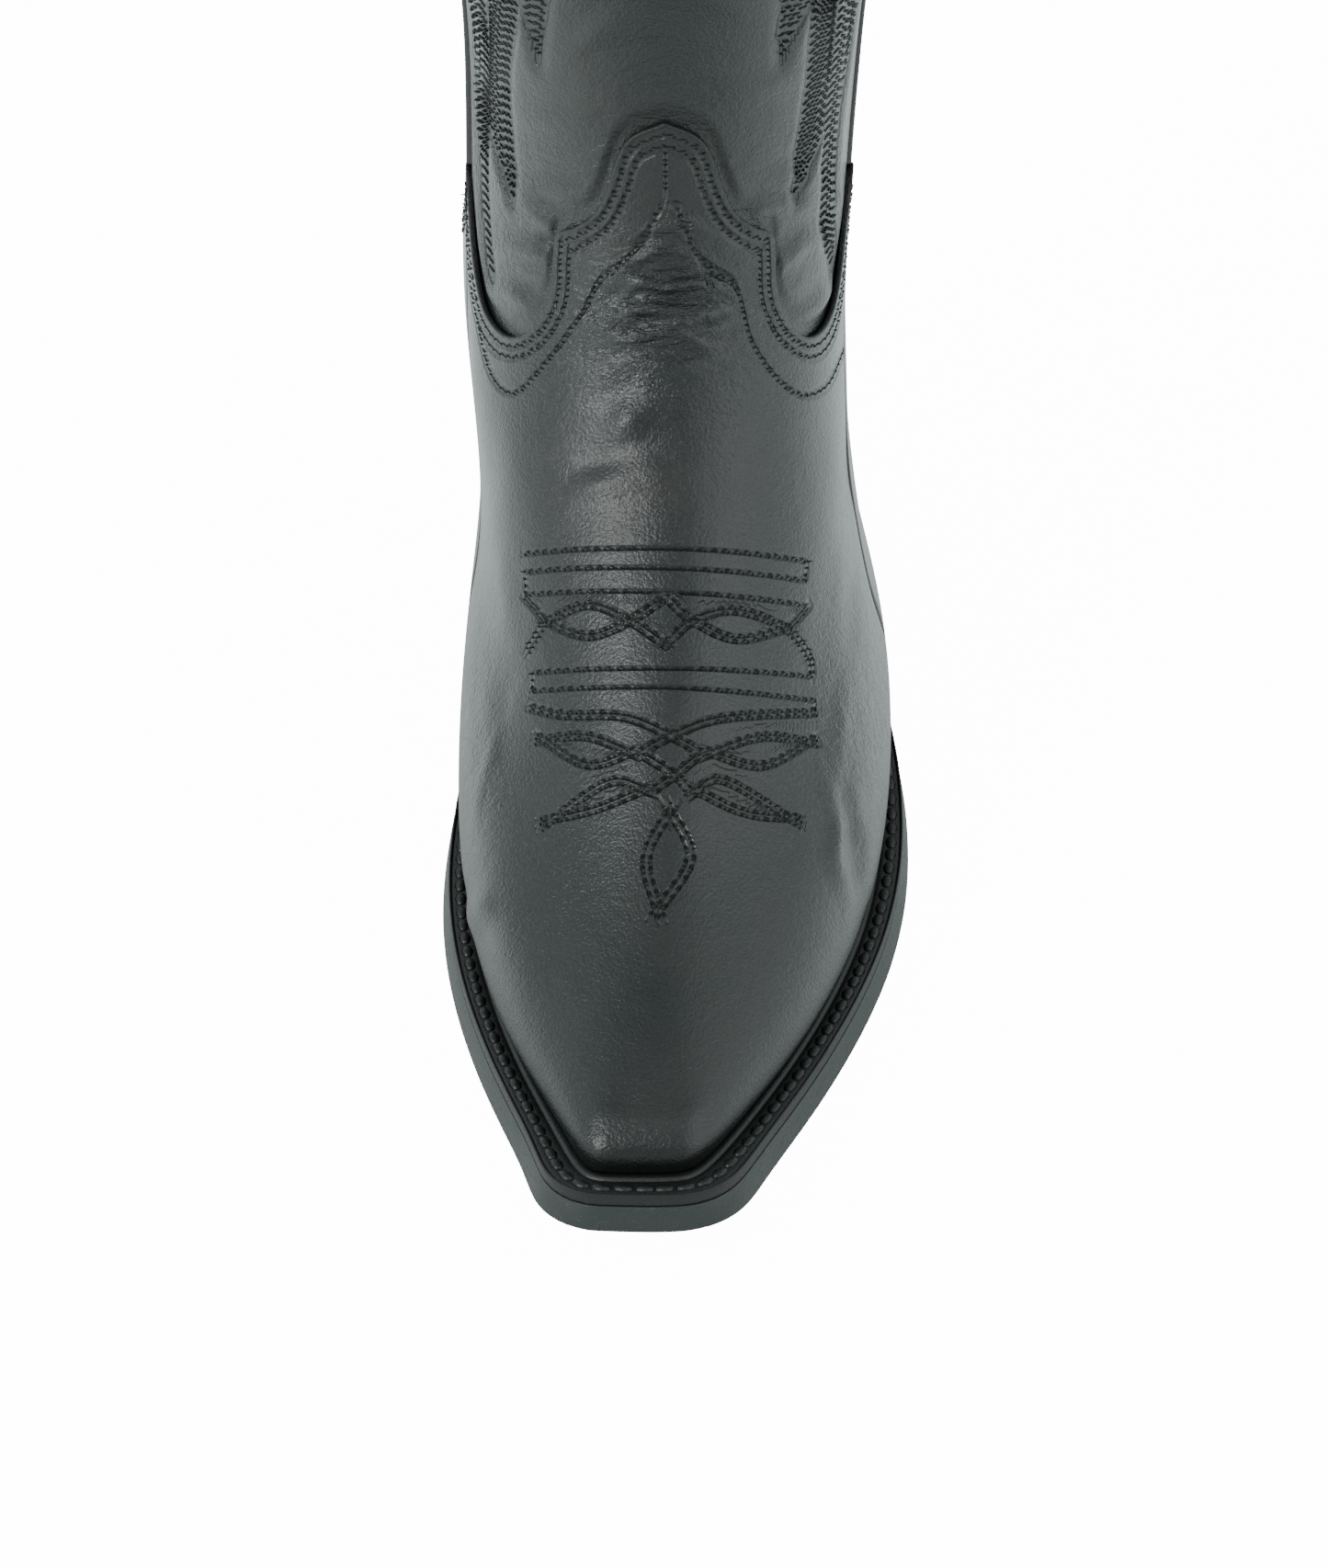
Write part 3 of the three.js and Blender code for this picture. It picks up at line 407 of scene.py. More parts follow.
class Sheet:
    """A sheet of leather: its columns, levels and outer points, and the bmesh of its outer face."""

    def __init__(self, ends, low, high, depth, cells, relief=None):
        self.columns = np.linspace(ends[0], ends[1], cells[0] + 1)
        self.levels, below = leather_rows(self.columns, low, high, cells[1])
        self.depth = depth
        flat = at_depth(self.columns, self.levels, depth)
        self.raised = relief(self.columns, self.levels, flat) if relief else 0
        self.roll = ROLL - np.sqrt(ROLL**2 - np.clip(ROLL - below, 0, ROLL) ** 2)
        self.outer = at_depth(self.columns, self.levels, depth - self.raised + self.roll)
        self.outer[0, :, 2] = feather(self.outer[0, :, 1]) + 0.05 if low is on_welt else self.outer[0, :, 2]
        self.bm = grid(cells[0], cells[1], to_frame(self.outer))
        self.tree = BVHTree.FromBMesh(self.bm)
        self.edge = np.minimum(below, 30)

    def layer(self, name, values):
        layer = self.bm.verts.layers.float.new(name)
        for vert, value in zip(self.bm.verts, np.asarray(values).ravel()):
            vert[layer] = value

    def sew(self, *lines):
        """Notes for each corner how far it lies from the nearest line of two sets, with its side."""
        for name, paths in zip(("seam_a", "seam_b"), lines):
            layer = self.bm.verts.layers.float_vector.new(name)
            tree = KDTree(sum(len(path.points) for path in paths))
            spots = [(p, s) for path in paths for p, s in zip(path.points, path.sides())]
            for i, (p, _) in enumerate(spots):
                tree.insert(p, i)
            tree.balance()
            for vert in self.bm.verts:
                point, i, distance = tree.find(vert.co)
                if distance is None or distance > 0.004:
                    vert[layer] = (9, 9, 0)
                    continue
                across = (vert.co - point).dot(Vector(spots[i][1]))
                vert[layer] = (across * 1000, distance * 1000, 0)

    def finish(self, thickness, name, material, slot, replaced, body="boot"):
        self.layer("cut", self.edge)
        inner = at_depth(self.columns, self.levels, self.depth + thickness - self.roll * 0.5)
        walled(self.bm, to_frame(inner))
        return finish_piece(self.bm, name, material, body, replaced)


# ---- Lines of stitches ----
class Path:
    """A line on a surface: evenly spaced points and the surface's normals there, in metres."""

    STEP = 0.0005

    def __init__(self, points, tree, normals=None):
        points = self.even(np.asarray(points, float))
        hits = [tree.find_nearest(p) for p in points]
        self.tree = tree
        self.points = np.array([hit[0][:] for hit in hits])
        self.normals = np.array([hit[1][:] for hit in hits])
        if normals is not None:
            share = np.linspace(0, 1, len(points)), np.linspace(0, 1, len(normals))
            self.normals = unit(np.stack([np.interp(*share, normals[:, k]) for k in range(3)], 1))

    @classmethod
    def even(cls, points):
        steps = np.linalg.norm(np.diff(points, axis=0), axis=1)
        length = np.concatenate([[0], np.cumsum(steps)])
        wanted = np.linspace(0, length[-1], max(3, int(length[-1] / cls.STEP)))
        return np.stack([np.interp(wanted, length, points[:, k]) for k in range(3)], 1)

    def along(self):
        return unit(np.gradient(self.points, axis=0))

    def sides(self):
        return unit(np.cross(self.normals, self.along()))

    def beside(self, distance):
        """A line at a distance, in mm, to the left of this one, less where it would cross itself."""
        moved = self.points + self.sides() * distance / 1000
        tree = KDTree(len(self.points))
        for i, point in enumerate(self.points):
            tree.insert(point, i)
        tree.balance()
        clear = [tree.find(p)[2] > abs(distance) * 0.00096 for p in moved]
        return Path(moved[np.array(clear)], self.tree)


def sewn(name, paths, material, pitch=2.8, radius=0.26, sink=0.05, hole=True, body="boot", fill=0.95, flat=1.0, facets=(6, 4)):
    """Threads along lines: each stitch is a slim bead that dips into the leather at both ends."""
    whole = bmesh.new()
    for path in paths:
        steps = np.linalg.norm(np.diff(path.points, axis=0), axis=1)
        length = np.concatenate([[0], np.cumsum(steps)]) * 1000
        count = max(1, round(length[-1] / pitch))
        real = length[-1] / count
        row = bmesh.new()
        tangents = path.along()
        for i in range(count):
            k = min(np.searchsorted(length, (i + 0.5) * real), len(length) - 1)
            normal = Vector(path.normals[k]).normalized()
            along = Vector(tangents[k])
            along = (along - normal * along.dot(normal)).normalized()
            turn = Matrix((along, normal.cross(along), normal)).transposed().to_4x4()
            centre = Matrix.Translation(Vector(path.points[k]) - normal * sink / 1000)
            size = Matrix.Diagonal((real * fill / 2000, radius / 1000, radius * flat / 1000, 1))
            u, v = facets
            bmesh.ops.create_uvsphere(row, u_segments=u, v_segments=v, radius=1, matrix=centre @ turn @ size @ SPIN)
            # At each needle hole a squat dark disc of thread: the thread's end, with painted shade of the hole.
            if hole:
                k = min(np.searchsorted(length, i * real), len(length) - 1)
                normal = Vector(path.normals[k]).normalized()
                spot = Matrix.Translation(Vector(path.points[k]) - normal * 0.0001)
                spot = spot @ normal.to_track_quat("Z", "Y").to_matrix().to_4x4()
                squat = Matrix.Diagonal((0.00046, 0.00046, 0.00025, 1))
                bmesh.ops.create_uvsphere(row, u_segments=6, v_segments=3, radius=1, matrix=spot @ squat)
        mesh = bpy.data.meshes.new("row")
        row.to_mesh(mesh)
        row.free()
        whole.from_mesh(mesh)
        bpy.data.meshes.remove(mesh)
    return finish_piece(whole, name, material, body)


SPIN = Matrix.Rotation(math.pi / 2, 4, "Y")  # turns a sphere's poles along the thread


def rounded(points, count=12):
    """A smooth line through points in a plane."""
    points = np.array(points, float)
    ends = [2 * points[0] - points[1]], [2 * points[-1] - points[-2]]
    p = np.concatenate([ends[0], points, ends[1]])
    line = []
    for i in range(1, len(p) - 2):
        for t in np.linspace(0, 1, count, endpoint=False):
            bend = 2 * p[i - 1] - 5 * p[i] + 4 * p[i + 1] - p[i + 2]
            twist = 3 * p[i] - p[i - 1] - 3 * p[i + 1] + p[i + 2]
            line.append(0.5 * (2 * p[i] + (p[i + 1] - p[i - 1]) * t + bend * t**2 + twist * t**3))
    return np.array([*line, points[-1]])


SLANT = math.sqrt(0.5)


def from_front(line, tree):
    """Throws a line of (x, t), drawn on a plane that slants at 45 degrees over the toe, onto the leather."""
    down = Vector((0, SLANT, -SLANT))
    points = []
    steps = np.linalg.norm(np.diff(line, axis=0), axis=1)
    length = np.concatenate([[0], np.cumsum(steps)])
    wanted = np.linspace(0, length[-1], max(3, int(length[-1] * 2)))
    for x, t in zip(np.interp(wanted, length, line[:, 0]), np.interp(wanted, length, line[:, 1])):
        start = Vector(to_frame((x, t * SLANT, t * SLANT))) - down * 0.3
        hit = tree.ray_cast(start, down)[0]
        if hit is not None:
            points.append(hit[:])
    return Path(points, tree)


# ---- Materials ----
def group(name, inputs, outputs, build):
    """A shader node group with named sockets, built once."""
    if name in bpy.data.node_groups:
        return bpy.data.node_groups[name]
    tree = bpy.data.node_groups.new(name, "ShaderNodeTree")
    for label, kind, value in inputs:
        socket = tree.interface.new_socket(label, in_out="INPUT", socket_type=kind)
        if value is not None:
            socket.default_value = value
    for label, kind in outputs:
        tree.interface.new_socket(label, in_out="OUTPUT", socket_type=kind)
    start, end = tree.nodes.new("NodeGroupInput"), tree.nodes.new("NodeGroupOutput")
    build(Nodes(tree), start.outputs, end.inputs)
    return tree


class Nodes:
    """Short ways to add the nodes of one tree."""

    def __init__(self, tree):
        self.tree = tree

    def join(self, value, socket):
        if isinstance(value, bpy.types.NodeSocket):
            self.tree.links.new(value, socket)
        elif value is not None:
            socket.default_value = value

    def add(self, kind, values=(), output=0, **settings):
        node = self.tree.nodes.new(kind)
        for key, value in settings.items():
            setattr(node, key, value)
        for i, value in dict(values).items():
            self.join(value, node.inputs[i])
        return node.outputs[output]

    def math(self, operation, a, b=None, clamp=False):
        return self.add("ShaderNodeMath", {0: a, 1: b}, operation=operation, use_clamp=clamp)

    def noise(self, vector, scale, detail=3, roughness=0.5):
        values = {"Vector": vector, "Scale": scale, "Detail": detail, "Roughness": roughness}
        return self.add("ShaderNodeTexNoise", values)

    def cells(self, vector, scale, feature="F1"):
        return self.add("ShaderNodeTexVoronoi", {"Vector": vector, "Scale": scale}, feature=feature)

    def ramp(self, value, low, high, to_low=0.0, to_high=1.0):
        values = {"Value": value, "From Min": low, "From Max": high, "To Min": to_low, "To Max": to_high}
        return self.add("ShaderNodeMapRange", values, interpolation_type="SMOOTHSTEP")

    def mix(self, share, a, b):
        return self.add("ShaderNodeMix", {0: share, 6: a, 7: b}, output=2, data_type="RGBA")

    def scaled(self, vector, scale, turn=(0, 0, 0)):
        return self.add("ShaderNodeMapping", {"Vector": vector, "Scale": scale, "Rotation": turn})

    def use(self, tree, values, output):
        node = self.tree.nodes.new("ShaderNodeGroup")
        node.node_tree = tree
        for key, value in values.items():
            self.join(value, node.inputs[key])
        return node.outputs[output] if isinstance(output, str) else [node.outputs[key] for key in output]


FLOAT, VECTOR = "NodeSocketFloat", "NodeSocketVector"


def grain_group():
    """Fine pores, soft lumps and slow patches of a smooth black leather."""

    def build(n, given, made):
        place = given["Vector"]
        wobble = n.noise(place, 420, 2)
        shifted_place = n.add(
            "ShaderNodeVectorMath", {0: place, 1: n.add("ShaderNodeCombineXYZ", {0: n.math("MULTIPLY", wobble, 0.0012)})},
            operation="ADD",
        )
        pebble = n.cells(shifted_place, n.math("MULTIPLY", given["Fineness"], 1500), "SMOOTH_F1")
        pores = n.noise(place, n.math("MULTIPLY", given["Fineness"], 2600), 2, 0.6)
        lumps = n.noise(place, 160, 3, 0.55)
        fine = n.math("ADD", n.math("MULTIPLY", pebble, 0.55), n.math("MULTIPLY", pores, 0.6))
        n.join(n.math("ADD", fine, n.math("MULTIPLY", lumps, given["Lumps"])), made["Height"])
        n.join(n.ramp(n.noise(place, 24, 4, 0.6), 0.38, 0.68), made["Patches"])
        n.join(n.ramp(n.noise(place, 3400, 1), 0.62, 0.78), made["Specks"])

    inputs = [("Vector", VECTOR, None), ("Fineness", FLOAT, 1.0), ("Lumps", FLOAT, 1.0)]
    return group("Leather grain", inputs, [("Height", FLOAT), ("Patches", FLOAT), ("Specks", FLOAT)], build)


def seam_group():
    """The trough that a row of stitches pulls into the leather."""

    def build(n, given, made):
        parts = n.add("ShaderNodeSeparateXYZ", {0: given["Seam"]}, output=0)
        node = parts.node
        across = n.math("ABSOLUTE", node.outputs[0])
        trough = n.ramp(across, 0.1, given["Reach"], 1.0, 0.0)
        near = n.ramp(node.outputs[1], 1.3, 2.2, 1.0, 0.0)
        n.join(n.math("MULTIPLY", trough, near), made["Trough"])

    return group("Seam trough", [("Seam", VECTOR, None), ("Reach", FLOAT, 0.6)], [("Trough", FLOAT)], build)


def crease_group():
    """Fine creases across the bend of the leather."""

    def build(n, given, made):
        place = n.scaled(given["Vector"], (60, 210, 210))
        folds = n.noise(place, 1.0, 5, 0.62)
        sharp = n.math("ABSOLUTE", n.math("SUBTRACT", folds, 0.5))
        n.join(n.math("MULTIPLY", n.ramp(sharp, 0.0, 0.09), given["Amount"]), made["Height"])

    return group("Bend creases", [("Vector", VECTOR, None), ("Amount", FLOAT, 1.0)], [("Height", FLOAT)], build)


def new_material(name):
    material = bpy.data.materials.new(name)
    material.use_nodes = True
    tree = material.node_tree
    shader = next(node for node in tree.nodes if node.type == "BSDF_PRINCIPLED")
    place = tree.nodes.new("ShaderNodeTexCoord").outputs["Object"]
    return material, Nodes(tree), shader.inputs, place


def tint(colour, factor=1.0):
    return (*[min(1, c * factor) for c in colour[:3]], 1)


def leather(name, colour, roughness, fineness=1.0, lumps=1.0, depth=0.0002, attributes=True, patch=None):
    """Dyed leather with grain, patches, painted shade in the troughs along its stitches and where a sheet asks for it,
    and an edge-painted cut edge.
    """
    if name in bpy.data.materials:
        return bpy.data.materials[name]
    material, n, shader, place = new_material(name)
    finish = bpy.context.scene.boot_finish
    height, patches, specks = n.use(
        grain_group(), {"Vector": place, "Fineness": fineness, "Lumps": lumps}, ("Height", "Patches", "Specks")
    )
    base = n.mix(patches, tint(colour), tint(patch or colour, 1 if patch else 1.25))
    rough = n.math("ADD", n.math("MULTIPLY", patches, 0.07), n.math("MULTIPLY", specks, -0.14))
    rough = n.math("ADD", rough, roughness)
    if attributes:
        trough = None
        for which in ("seam_a", "seam_b"):
            seam = n.add("ShaderNodeAttribute", attribute_name=which, output=1)
            found = n.use(seam_group(), {"Seam": seam}, "Trough")
            trough = n.math("MAXIMUM", trough, found) if trough else found
        bend = n.add("ShaderNodeAttribute", attribute_name="bend", output=2)
        crease = n.use(crease_group(), {"Vector": place, "Amount": bend}, "Height")
        edge = n.ramp(n.add("ShaderNodeAttribute", attribute_name="cut", output=2), 0.3, 1.5, 1.0, 0.0)
        # Painted shade in the troughs along the stitches.
        base = n.mix(n.math("MULTIPLY", trough, 0.45), base, (0.004, 0.005, 0.005, 1))
        base = n.mix(n.math("MULTIPLY", edge, 0.5), base, (0.003, 0.003, 0.003, 1))
        # Painted shade where the sheet's layer asks for it: over the toe's front wall, along the welt and under the
        # shaft's stitched bands.
        painted_shade = n.add("ShaderNodeAttribute", attribute_name="painted_shade", output=2)
        base = n.mix(n.math("MULTIPLY", painted_shade, 0.85), base, (0.002, 0.0025, 0.0025, 1))
        rough = n.math("SUBTRACT", rough, n.math("MULTIPLY", bend, 0.08))
        rough = n.math("ADD", rough, n.math("MULTIPLY", edge, 0.15))
        height = n.math("ADD", height, n.math("MULTIPLY", crease, finish.crease_depth))
        height = n.math("SUBTRACT", height, n.math("MULTIPLY", trough, finish.seam_depth))
    n.join(base, shader["Base Color"])
    n.join(rough, shader["Roughness"])
    n.join(n.add("ShaderNodeBump", {"Height": height, "Distance": depth, "Strength": 1.0}), shader["Normal"])
    return material


def stacked(name, colour, roughness, layer=1.9):
    """The edge of leather layers pressed together, with faint lines between them and fine scuffs."""
    if name in bpy.data.materials:
        return bpy.data.materials[name]
    material, n, shader, place = new_material(name)
    parts = n.add("ShaderNodeSeparateXYZ", {0: place}).node
    wander = n.math("MULTIPLY", n.noise(place, 40, 2), 0.6)
    line = n.math("PINGPONG", n.math("ADD", n.math("MULTIPLY", parts.outputs[2], 1000 / layer), wander), 0.5)
    gap = n.ramp(line, 0.0, 0.09, 1.0, 0.0)
    scuff = n.ramp(n.noise(n.scaled(place, (1, 1, 5)), 260, 4, 0.7), 0.56, 0.72)
    base = n.mix(n.math("MULTIPLY", gap, 0.6), tint(colour), tint(colour, 0.3))
    base = n.mix(n.math("MULTIPLY", scuff, 0.35), base, tint(colour, 2.2))
    n.join(base, shader["Base Color"])
    n.join(n.math("ADD", n.math("MULTIPLY", scuff, 0.2), roughness), shader["Roughness"])
    fine = n.noise(place, 1500, 3, 0.6)
    height = n.math("SUBTRACT", n.math("ADD", n.math("MULTIPLY", fine, 0.5), scuff), n.math("MULTIPLY", gap, 1.4))
    n.join(n.add("ShaderNodeBump", {"Height": height, "Distance": 0.00012}), shader["Normal"])
    return material


def thread_material(name, colour):
    """Waxed thread: tight slanting strands with a dull shine."""
    if name in bpy.data.materials:
        return bpy.data.materials[name]
    material, n, shader, place = new_material(name)
    strands = n.add("ShaderNodeTexWave", {"Vector": place, "Scale": 900, "Distortion": 2.0}, bands_direction="DIAGONAL")
    n.join(n.mix(strands.node.outputs[1], tint(colour, 0.6), tint(colour)), shader["Base Color"])
    n.join(n.ramp(n.noise(place, 300), 0.3, 0.7, 0.45, 0.62), shader["Roughness"])
    shader["Specular IOR Level"].default_value = 0.25
    n.join(n.add("ShaderNodeBump", {"Height": strands.node.outputs[1], "Distance": 0.00005}), shader["Normal"])
    return material


def plain(name, colour, roughness, scale, contrast=0.3, metallic=0.0, depth=0.0001):
    """A material of one colour with a fine speckle and small bumps, such as rubber, board, cork or metal."""
    if name in bpy.data.materials:
        return bpy.data.materials[name]
    material, n, shader, place = new_material(name)
    speckle = n.noise(place, scale, 4, 0.65)
    mask = n.ramp(speckle, 0.35, 0.65)
    n.join(n.mix(mask, tint(colour, 1 - contrast), tint(colour, 1 + contrast)), shader["Base Color"])
    n.join(n.ramp(speckle, 0.3, 0.7, roughness - 0.08, roughness + 0.08), shader["Roughness"])
    shader["Metallic"].default_value = metallic
    n.join(n.add("ShaderNodeBump", {"Height": speckle, "Distance": depth}), shader["Normal"])
    return material


def finish_of(slot):
    """The material of one of the record's slots."""
    f = bpy.context.scene.boot_finish
    dark = f.leather_colour
    makers = {
        "vamp_leather": lambda: leather("Vamp leather", dark, f.leather_roughness, patch=f.patch_colour),
        "shaft_leather": lambda: leather("Shaft leather", dark, f.leather_roughness + 0.03, patch=f.patch_colour),
        "trim_leather": lambda: leather("Trim leather", tint(dark, 0.6), 0.4, 1.2, 0.6),
        "lining_leather": lambda: leather("Lining leather", f.lining_colour, 0.62, 1.3, 0.8, attributes=False),
        "board": lambda: plain("Stiffener board", (0.42, 0.28, 0.16), 0.8, 700),
        "welt_leather": lambda: leather("Welt leather", tint(dark, 0.35), 0.42, 1.3, 0.8, 0.0001, attributes=False),
        "sole_leather": lambda: stacked("Sole edge leather", tint(dark, 2.8), 0.36, 60),
        "stacked_leather": lambda: stacked("Stacked heel leather", tint(dark, 0.7), 0.34),
        "cork": lambda: plain("Cork", (0.38, 0.22, 0.11), 0.9, 450, 0.45, depth=0.0004),
        "top_lift_rubber": lambda: plain("Top lift rubber", (0.012, 0.012, 0.012), 0.72, 2200, 0.4),
        "shank_steel": lambda: plain("Shank steel", (0.35, 0.36, 0.37), 0.36, 900, 0.12, 1.0, 0.00002),
        "nail_brass": lambda: plain("Nail brass", (0.6, 0.4, 0.16), 0.32, 1200, 0.2, 1.0, 0.00003),
        "thread": lambda: thread_material("Waxed thread", f.thread_colour),
    }
    return makers[slot]()


# ---- Settings that a user would change ----
class BootFinish(bpy.types.PropertyGroup):
    """Colours and surface depths of the boot."""

    leather_colour: bpy.props.FloatVectorProperty(
        name="Leather", description="Dye of the vamp, counter and shaft", subtype="COLOR", size=3,
        default=(0.0065, 0.0085, 0.0085), min=0, max=1,
    )
    patch_colour: bpy.props.FloatVectorProperty(
        name="Patches", description="Tint of the slow patches in the dye", subtype="COLOR", size=3,
        default=(0.0105, 0.011, 0.0105), min=0, max=1,
    )
    lining_colour: bpy.props.FloatVectorProperty(
        name="Lining", description="Colour of the lining leather", subtype="COLOR", size=3,
        default=(0.21, 0.125, 0.07), min=0, max=1,
    )
    thread_colour: bpy.props.FloatVectorProperty(
        name="Thread", description="Colour of the waxed thread", subtype="COLOR", size=3,
        default=(0.006, 0.0065, 0.0065), min=0, max=1,
    )
    leather_roughness: bpy.props.FloatProperty(
        name="Roughness", description="Dullness of the leather", subtype="FACTOR", default=0.3, min=0, max=1
    )
    seam_depth: bpy.props.FloatProperty(
        name="Seam depth", description="Depth of the trough along a row of stitches, in grain heights",
        default=1.6, min=0, max=8,
    )
    crease_depth: bpy.props.FloatProperty(
        name="Crease depth", description="Depth of the fine creases, in grain heights", default=1.3, min=0, max=8
    )


class BootSewing(bpy.types.PropertyGroup):
    """Sizes of the stitches."""

    pitch: bpy.props.FloatProperty(
        name="Pitch", description="Length of one stitch", default=0.0028, min=0.001, max=0.01, unit="LENGTH"
    )
    radius: bpy.props.FloatProperty(
        name="Thread radius", description="Half the thickness of the thread", default=0.00021, min=0.0001,
        max=0.001, unit="LENGTH",
    )
    welt_pitch: bpy.props.FloatProperty(
        name="Welt pitch", description="Length of one lock stitch of the welt", default=0.0044, min=0.002,
        max=0.01, unit="LENGTH",
    )


class BootStage(bpy.types.PropertyGroup):
    """The camera and the light."""

    lens: bpy.props.FloatProperty(
        name="Lens", description="Focal length", default=94.96, min=20, max=300, unit="CAMERA"
    )
    tilt: bpy.props.FloatProperty(
        name="Tilt", description="How far the camera looks down", default=math.radians(41.11), subtype="ANGLE"
    )
    side_light: bpy.props.FloatProperty(
        name="Side light", description="Power of each soft box", default=14, min=0, max=500, unit="POWER"
    )


# ---- Relief of the leather ----
# Soft folds and lumps on the slanting plane: x, t, half length, half width (mm), turn (degrees), height (mm).
FOLDS = [
    (0, 208, 18, 1.5, 3, 0.8), (3, 213.5, 13, 1.1, -4, 0.75), (-3, 203, 15, 1.4, -6, 0.6),
    (7, 205.5, 9, 1.0, 8, 0.5),
    (-2, 219.5, 9, 1.1, 6, 0.5), (4, 225.5, 6, 1.1, -5, 0.35), (1, 197, 12, 1.5, 2, 0.35),
    (-10, 211, 8, 0.9, 22, 0.2),
    (12, 209, 8, 1.0, -20, 0.15), (-6, 215.5, 7, 0.8, -10, 0.35), (-8, 184.5, 5, 3.4, 20, 0.5),
    (-14, 170, 8, 3.2, 8, 0.5),
    (-2, 172, 7, 3, -10, 0.25), (-41, 77, 5, 3.0, 62, 1.1), (38.6, 90, 14, 1.9, -82, 1.0),
    (42, 92, 14, 1.8, -82, -0.6),
    (-36, 150, 3, 13, 6, 0.3), (-39, 120, 3, 15, 4, 0.35), (40, 152, 3, 14, -5, 0.3),
    (40, 118, 2.6, 15, -6, 0.35),
    (-41, 104, 2, 8, -12, 0.3), (-38.5, 112, 1.6, 7, -16, 0.3),
]
SHAFT_FOLDS = [
    (-24, 229, 11, 1.8, -24, 0.7), (-27, 222, 10, 1.7, -30, 0.7), (-29, 236, 9, 2, -18, 0.5),
    (-33, 214, 8, 1.6, -40, 0.6),
    (24, 231, 11, 1.9, 26, 0.7), (28, 223, 10, 1.7, 32, 0.7), (30, 238, 9, 2, 16, 0.5),
    (34, 214, 8, 1.6, 40, 0.6),
    (-16, 262, 12, 2.4, 10, 0.3), (14, 268, 12, 2.6, -8, 0.3), (0, 282, 18, 3, 2, 0.25),
    (-19, 276, 8, 2, -14, 0.3),
    (20, 254, 9, 2, 14, 0.35), (-22, 248, 9, 2, -16, 0.35),
]


def folded(points, folds):
    """Height of the folds at points of the form; only the side that faces the plane is folded."""
    x, t = points[..., 0], (points[..., 1] + points[..., 2]) * SLANT
    height = np.zeros(x.shape)
    for x0, t0, long, wide, turn, tall in folds:
        c, s = math.cos(math.radians(turn)), math.sin(math.radians(turn))
        u, v = (x - x0) * c + (t - t0) * s, (t - t0) * c - (x - x0) * s
        v = v + 0.9 * np.sin(u / 3.1 + x0) * (wide < 2.5)
        swell = np.exp(-((v / wide) ** 2)) - 0.45 * np.exp(-((v / wide - 1.9) ** 2))
        height += tall * np.exp(-((u / long) ** 2) * 1.4) * swell
    return height * (points[..., 1] < 230)


def vamp_relief(column, level, points):
    """Folds, deeper towards the throat, the crisp top of the toe's front wall and the outer peak's slight flare."""
    deeper = 1 + 1.2 * smooth((points[..., 1] + points[..., 2] - 232) / 20)
    height = deeper * folded(points, FOLDS)
    height += 0.3 * np.exp(-(((level - 2.12) / 0.2) ** 2)) * (1 - smooth((np.abs(column) - 1.5) / 0.9))
    height += 0.5 * smooth((column - 5.5) / 0.4) * smooth((level - 8.3) / 0.6)
    return height * smooth(level / 0.25)


# Bands of parallel rows on the shaft: height (mm), and the columns of both edges. Each ends in a point.
LEFT_BANDS = [
    [(118, -5.0, -4.8), (129, -5.2, -4.9), (140, -5.3, -4.9), (150, -5.46, -4.7), (164, -5.45, -4.42),
     (178, -5.4, -4.2),
     (200, -5.3, -4.25), (240, -5.1, -4.4), (278, -4.5, -4.0), (304, -3.7, -3.6)],
    [(139, -3.8, -3.76), (145, -4.3, -3.74), (151, -4.64, -3.72), (164, -4.36, -3.6), (175, -4.05, -3.3),
     (187, -3.8, -2.9),
     (210, -3.5, -2.6), (245, -3.1, -2.4), (278, -2.3, -1.9), (296, -1.7, -1.62)],
    [(177, -2.41, -2.38), (184, -2.55, -2.25), (191, -2.7, -2.1), (212, -2.2, -1.5), (240, -1.6, -0.95),
     (262, -1.0, -0.6), (278, -0.5, -0.42)],
]
RIGHT_BANDS = [
    [(118, 5.1, 5.25), (125, 4.6, 5.2), (133, 4.3, 4.85), (152, 4.12, 4.75), (170, 4.02, 5.1),
     (184, 3.95, 5.2),
     (200, 4.1, 5.25), (240, 4.35, 5.1), (278, 4.0, 4.5), (304, 3.6, 3.7)],
    [(143, 3.12, 3.15), (148, 3.08, 3.65), (154, 3.06, 4.02), (163, 3.08, 3.9), (170, 3.08, 3.75),
     (188, 2.9, 3.6),
     (210, 2.6, 3.5), (245, 2.4, 3.1), (278, 1.9, 2.3), (296, 1.62, 1.7)],
    [(178, 2.17, 2.2), (184, 2.1, 2.5), (191, 2.1, 2.85), (212, 1.5, 2.25), (240, 0.95, 1.6), (262, 0.6, 1.0),
     (278, 0.42, 0.5)],
]
ROW_SPACING = 0.076  # between the rows of a band, in columns
COLUMN_WIDTH = 12.5  # mm round the shaft
PUFF_HEIGHT, PUFF_REACH = 0.75, 4.5


def band_rows(band, to_column):
    """The rows of one band, as lines of (column, height); those that meet its edge end there."""
    heights = np.arange(band[0][0], band[-1][0] + 0.1, 0.7)
    left, right = (curve([(p[0], p[side]) for p in band])(heights) for side in (1, 2))
    inner = left if left.mean() > 0 else right
    sign = 1 if left.mean() > 0 else -1
    rows = []
    for k in range(int((right - left).max() / ROW_SPACING) + 1):
        column = inner + sign * k * ROW_SPACING
        inside = (column >= left - 0.02) & (column <= right + 0.02)
        if inside.sum() > 6:
            rows.append(np.stack([to_column(column[inside]), heights[inside]], 1))
    return rows


def band_lines(to_column):
    return [row for band in LEFT_BANDS + RIGHT_BANDS for row in band_rows(band, to_column)]


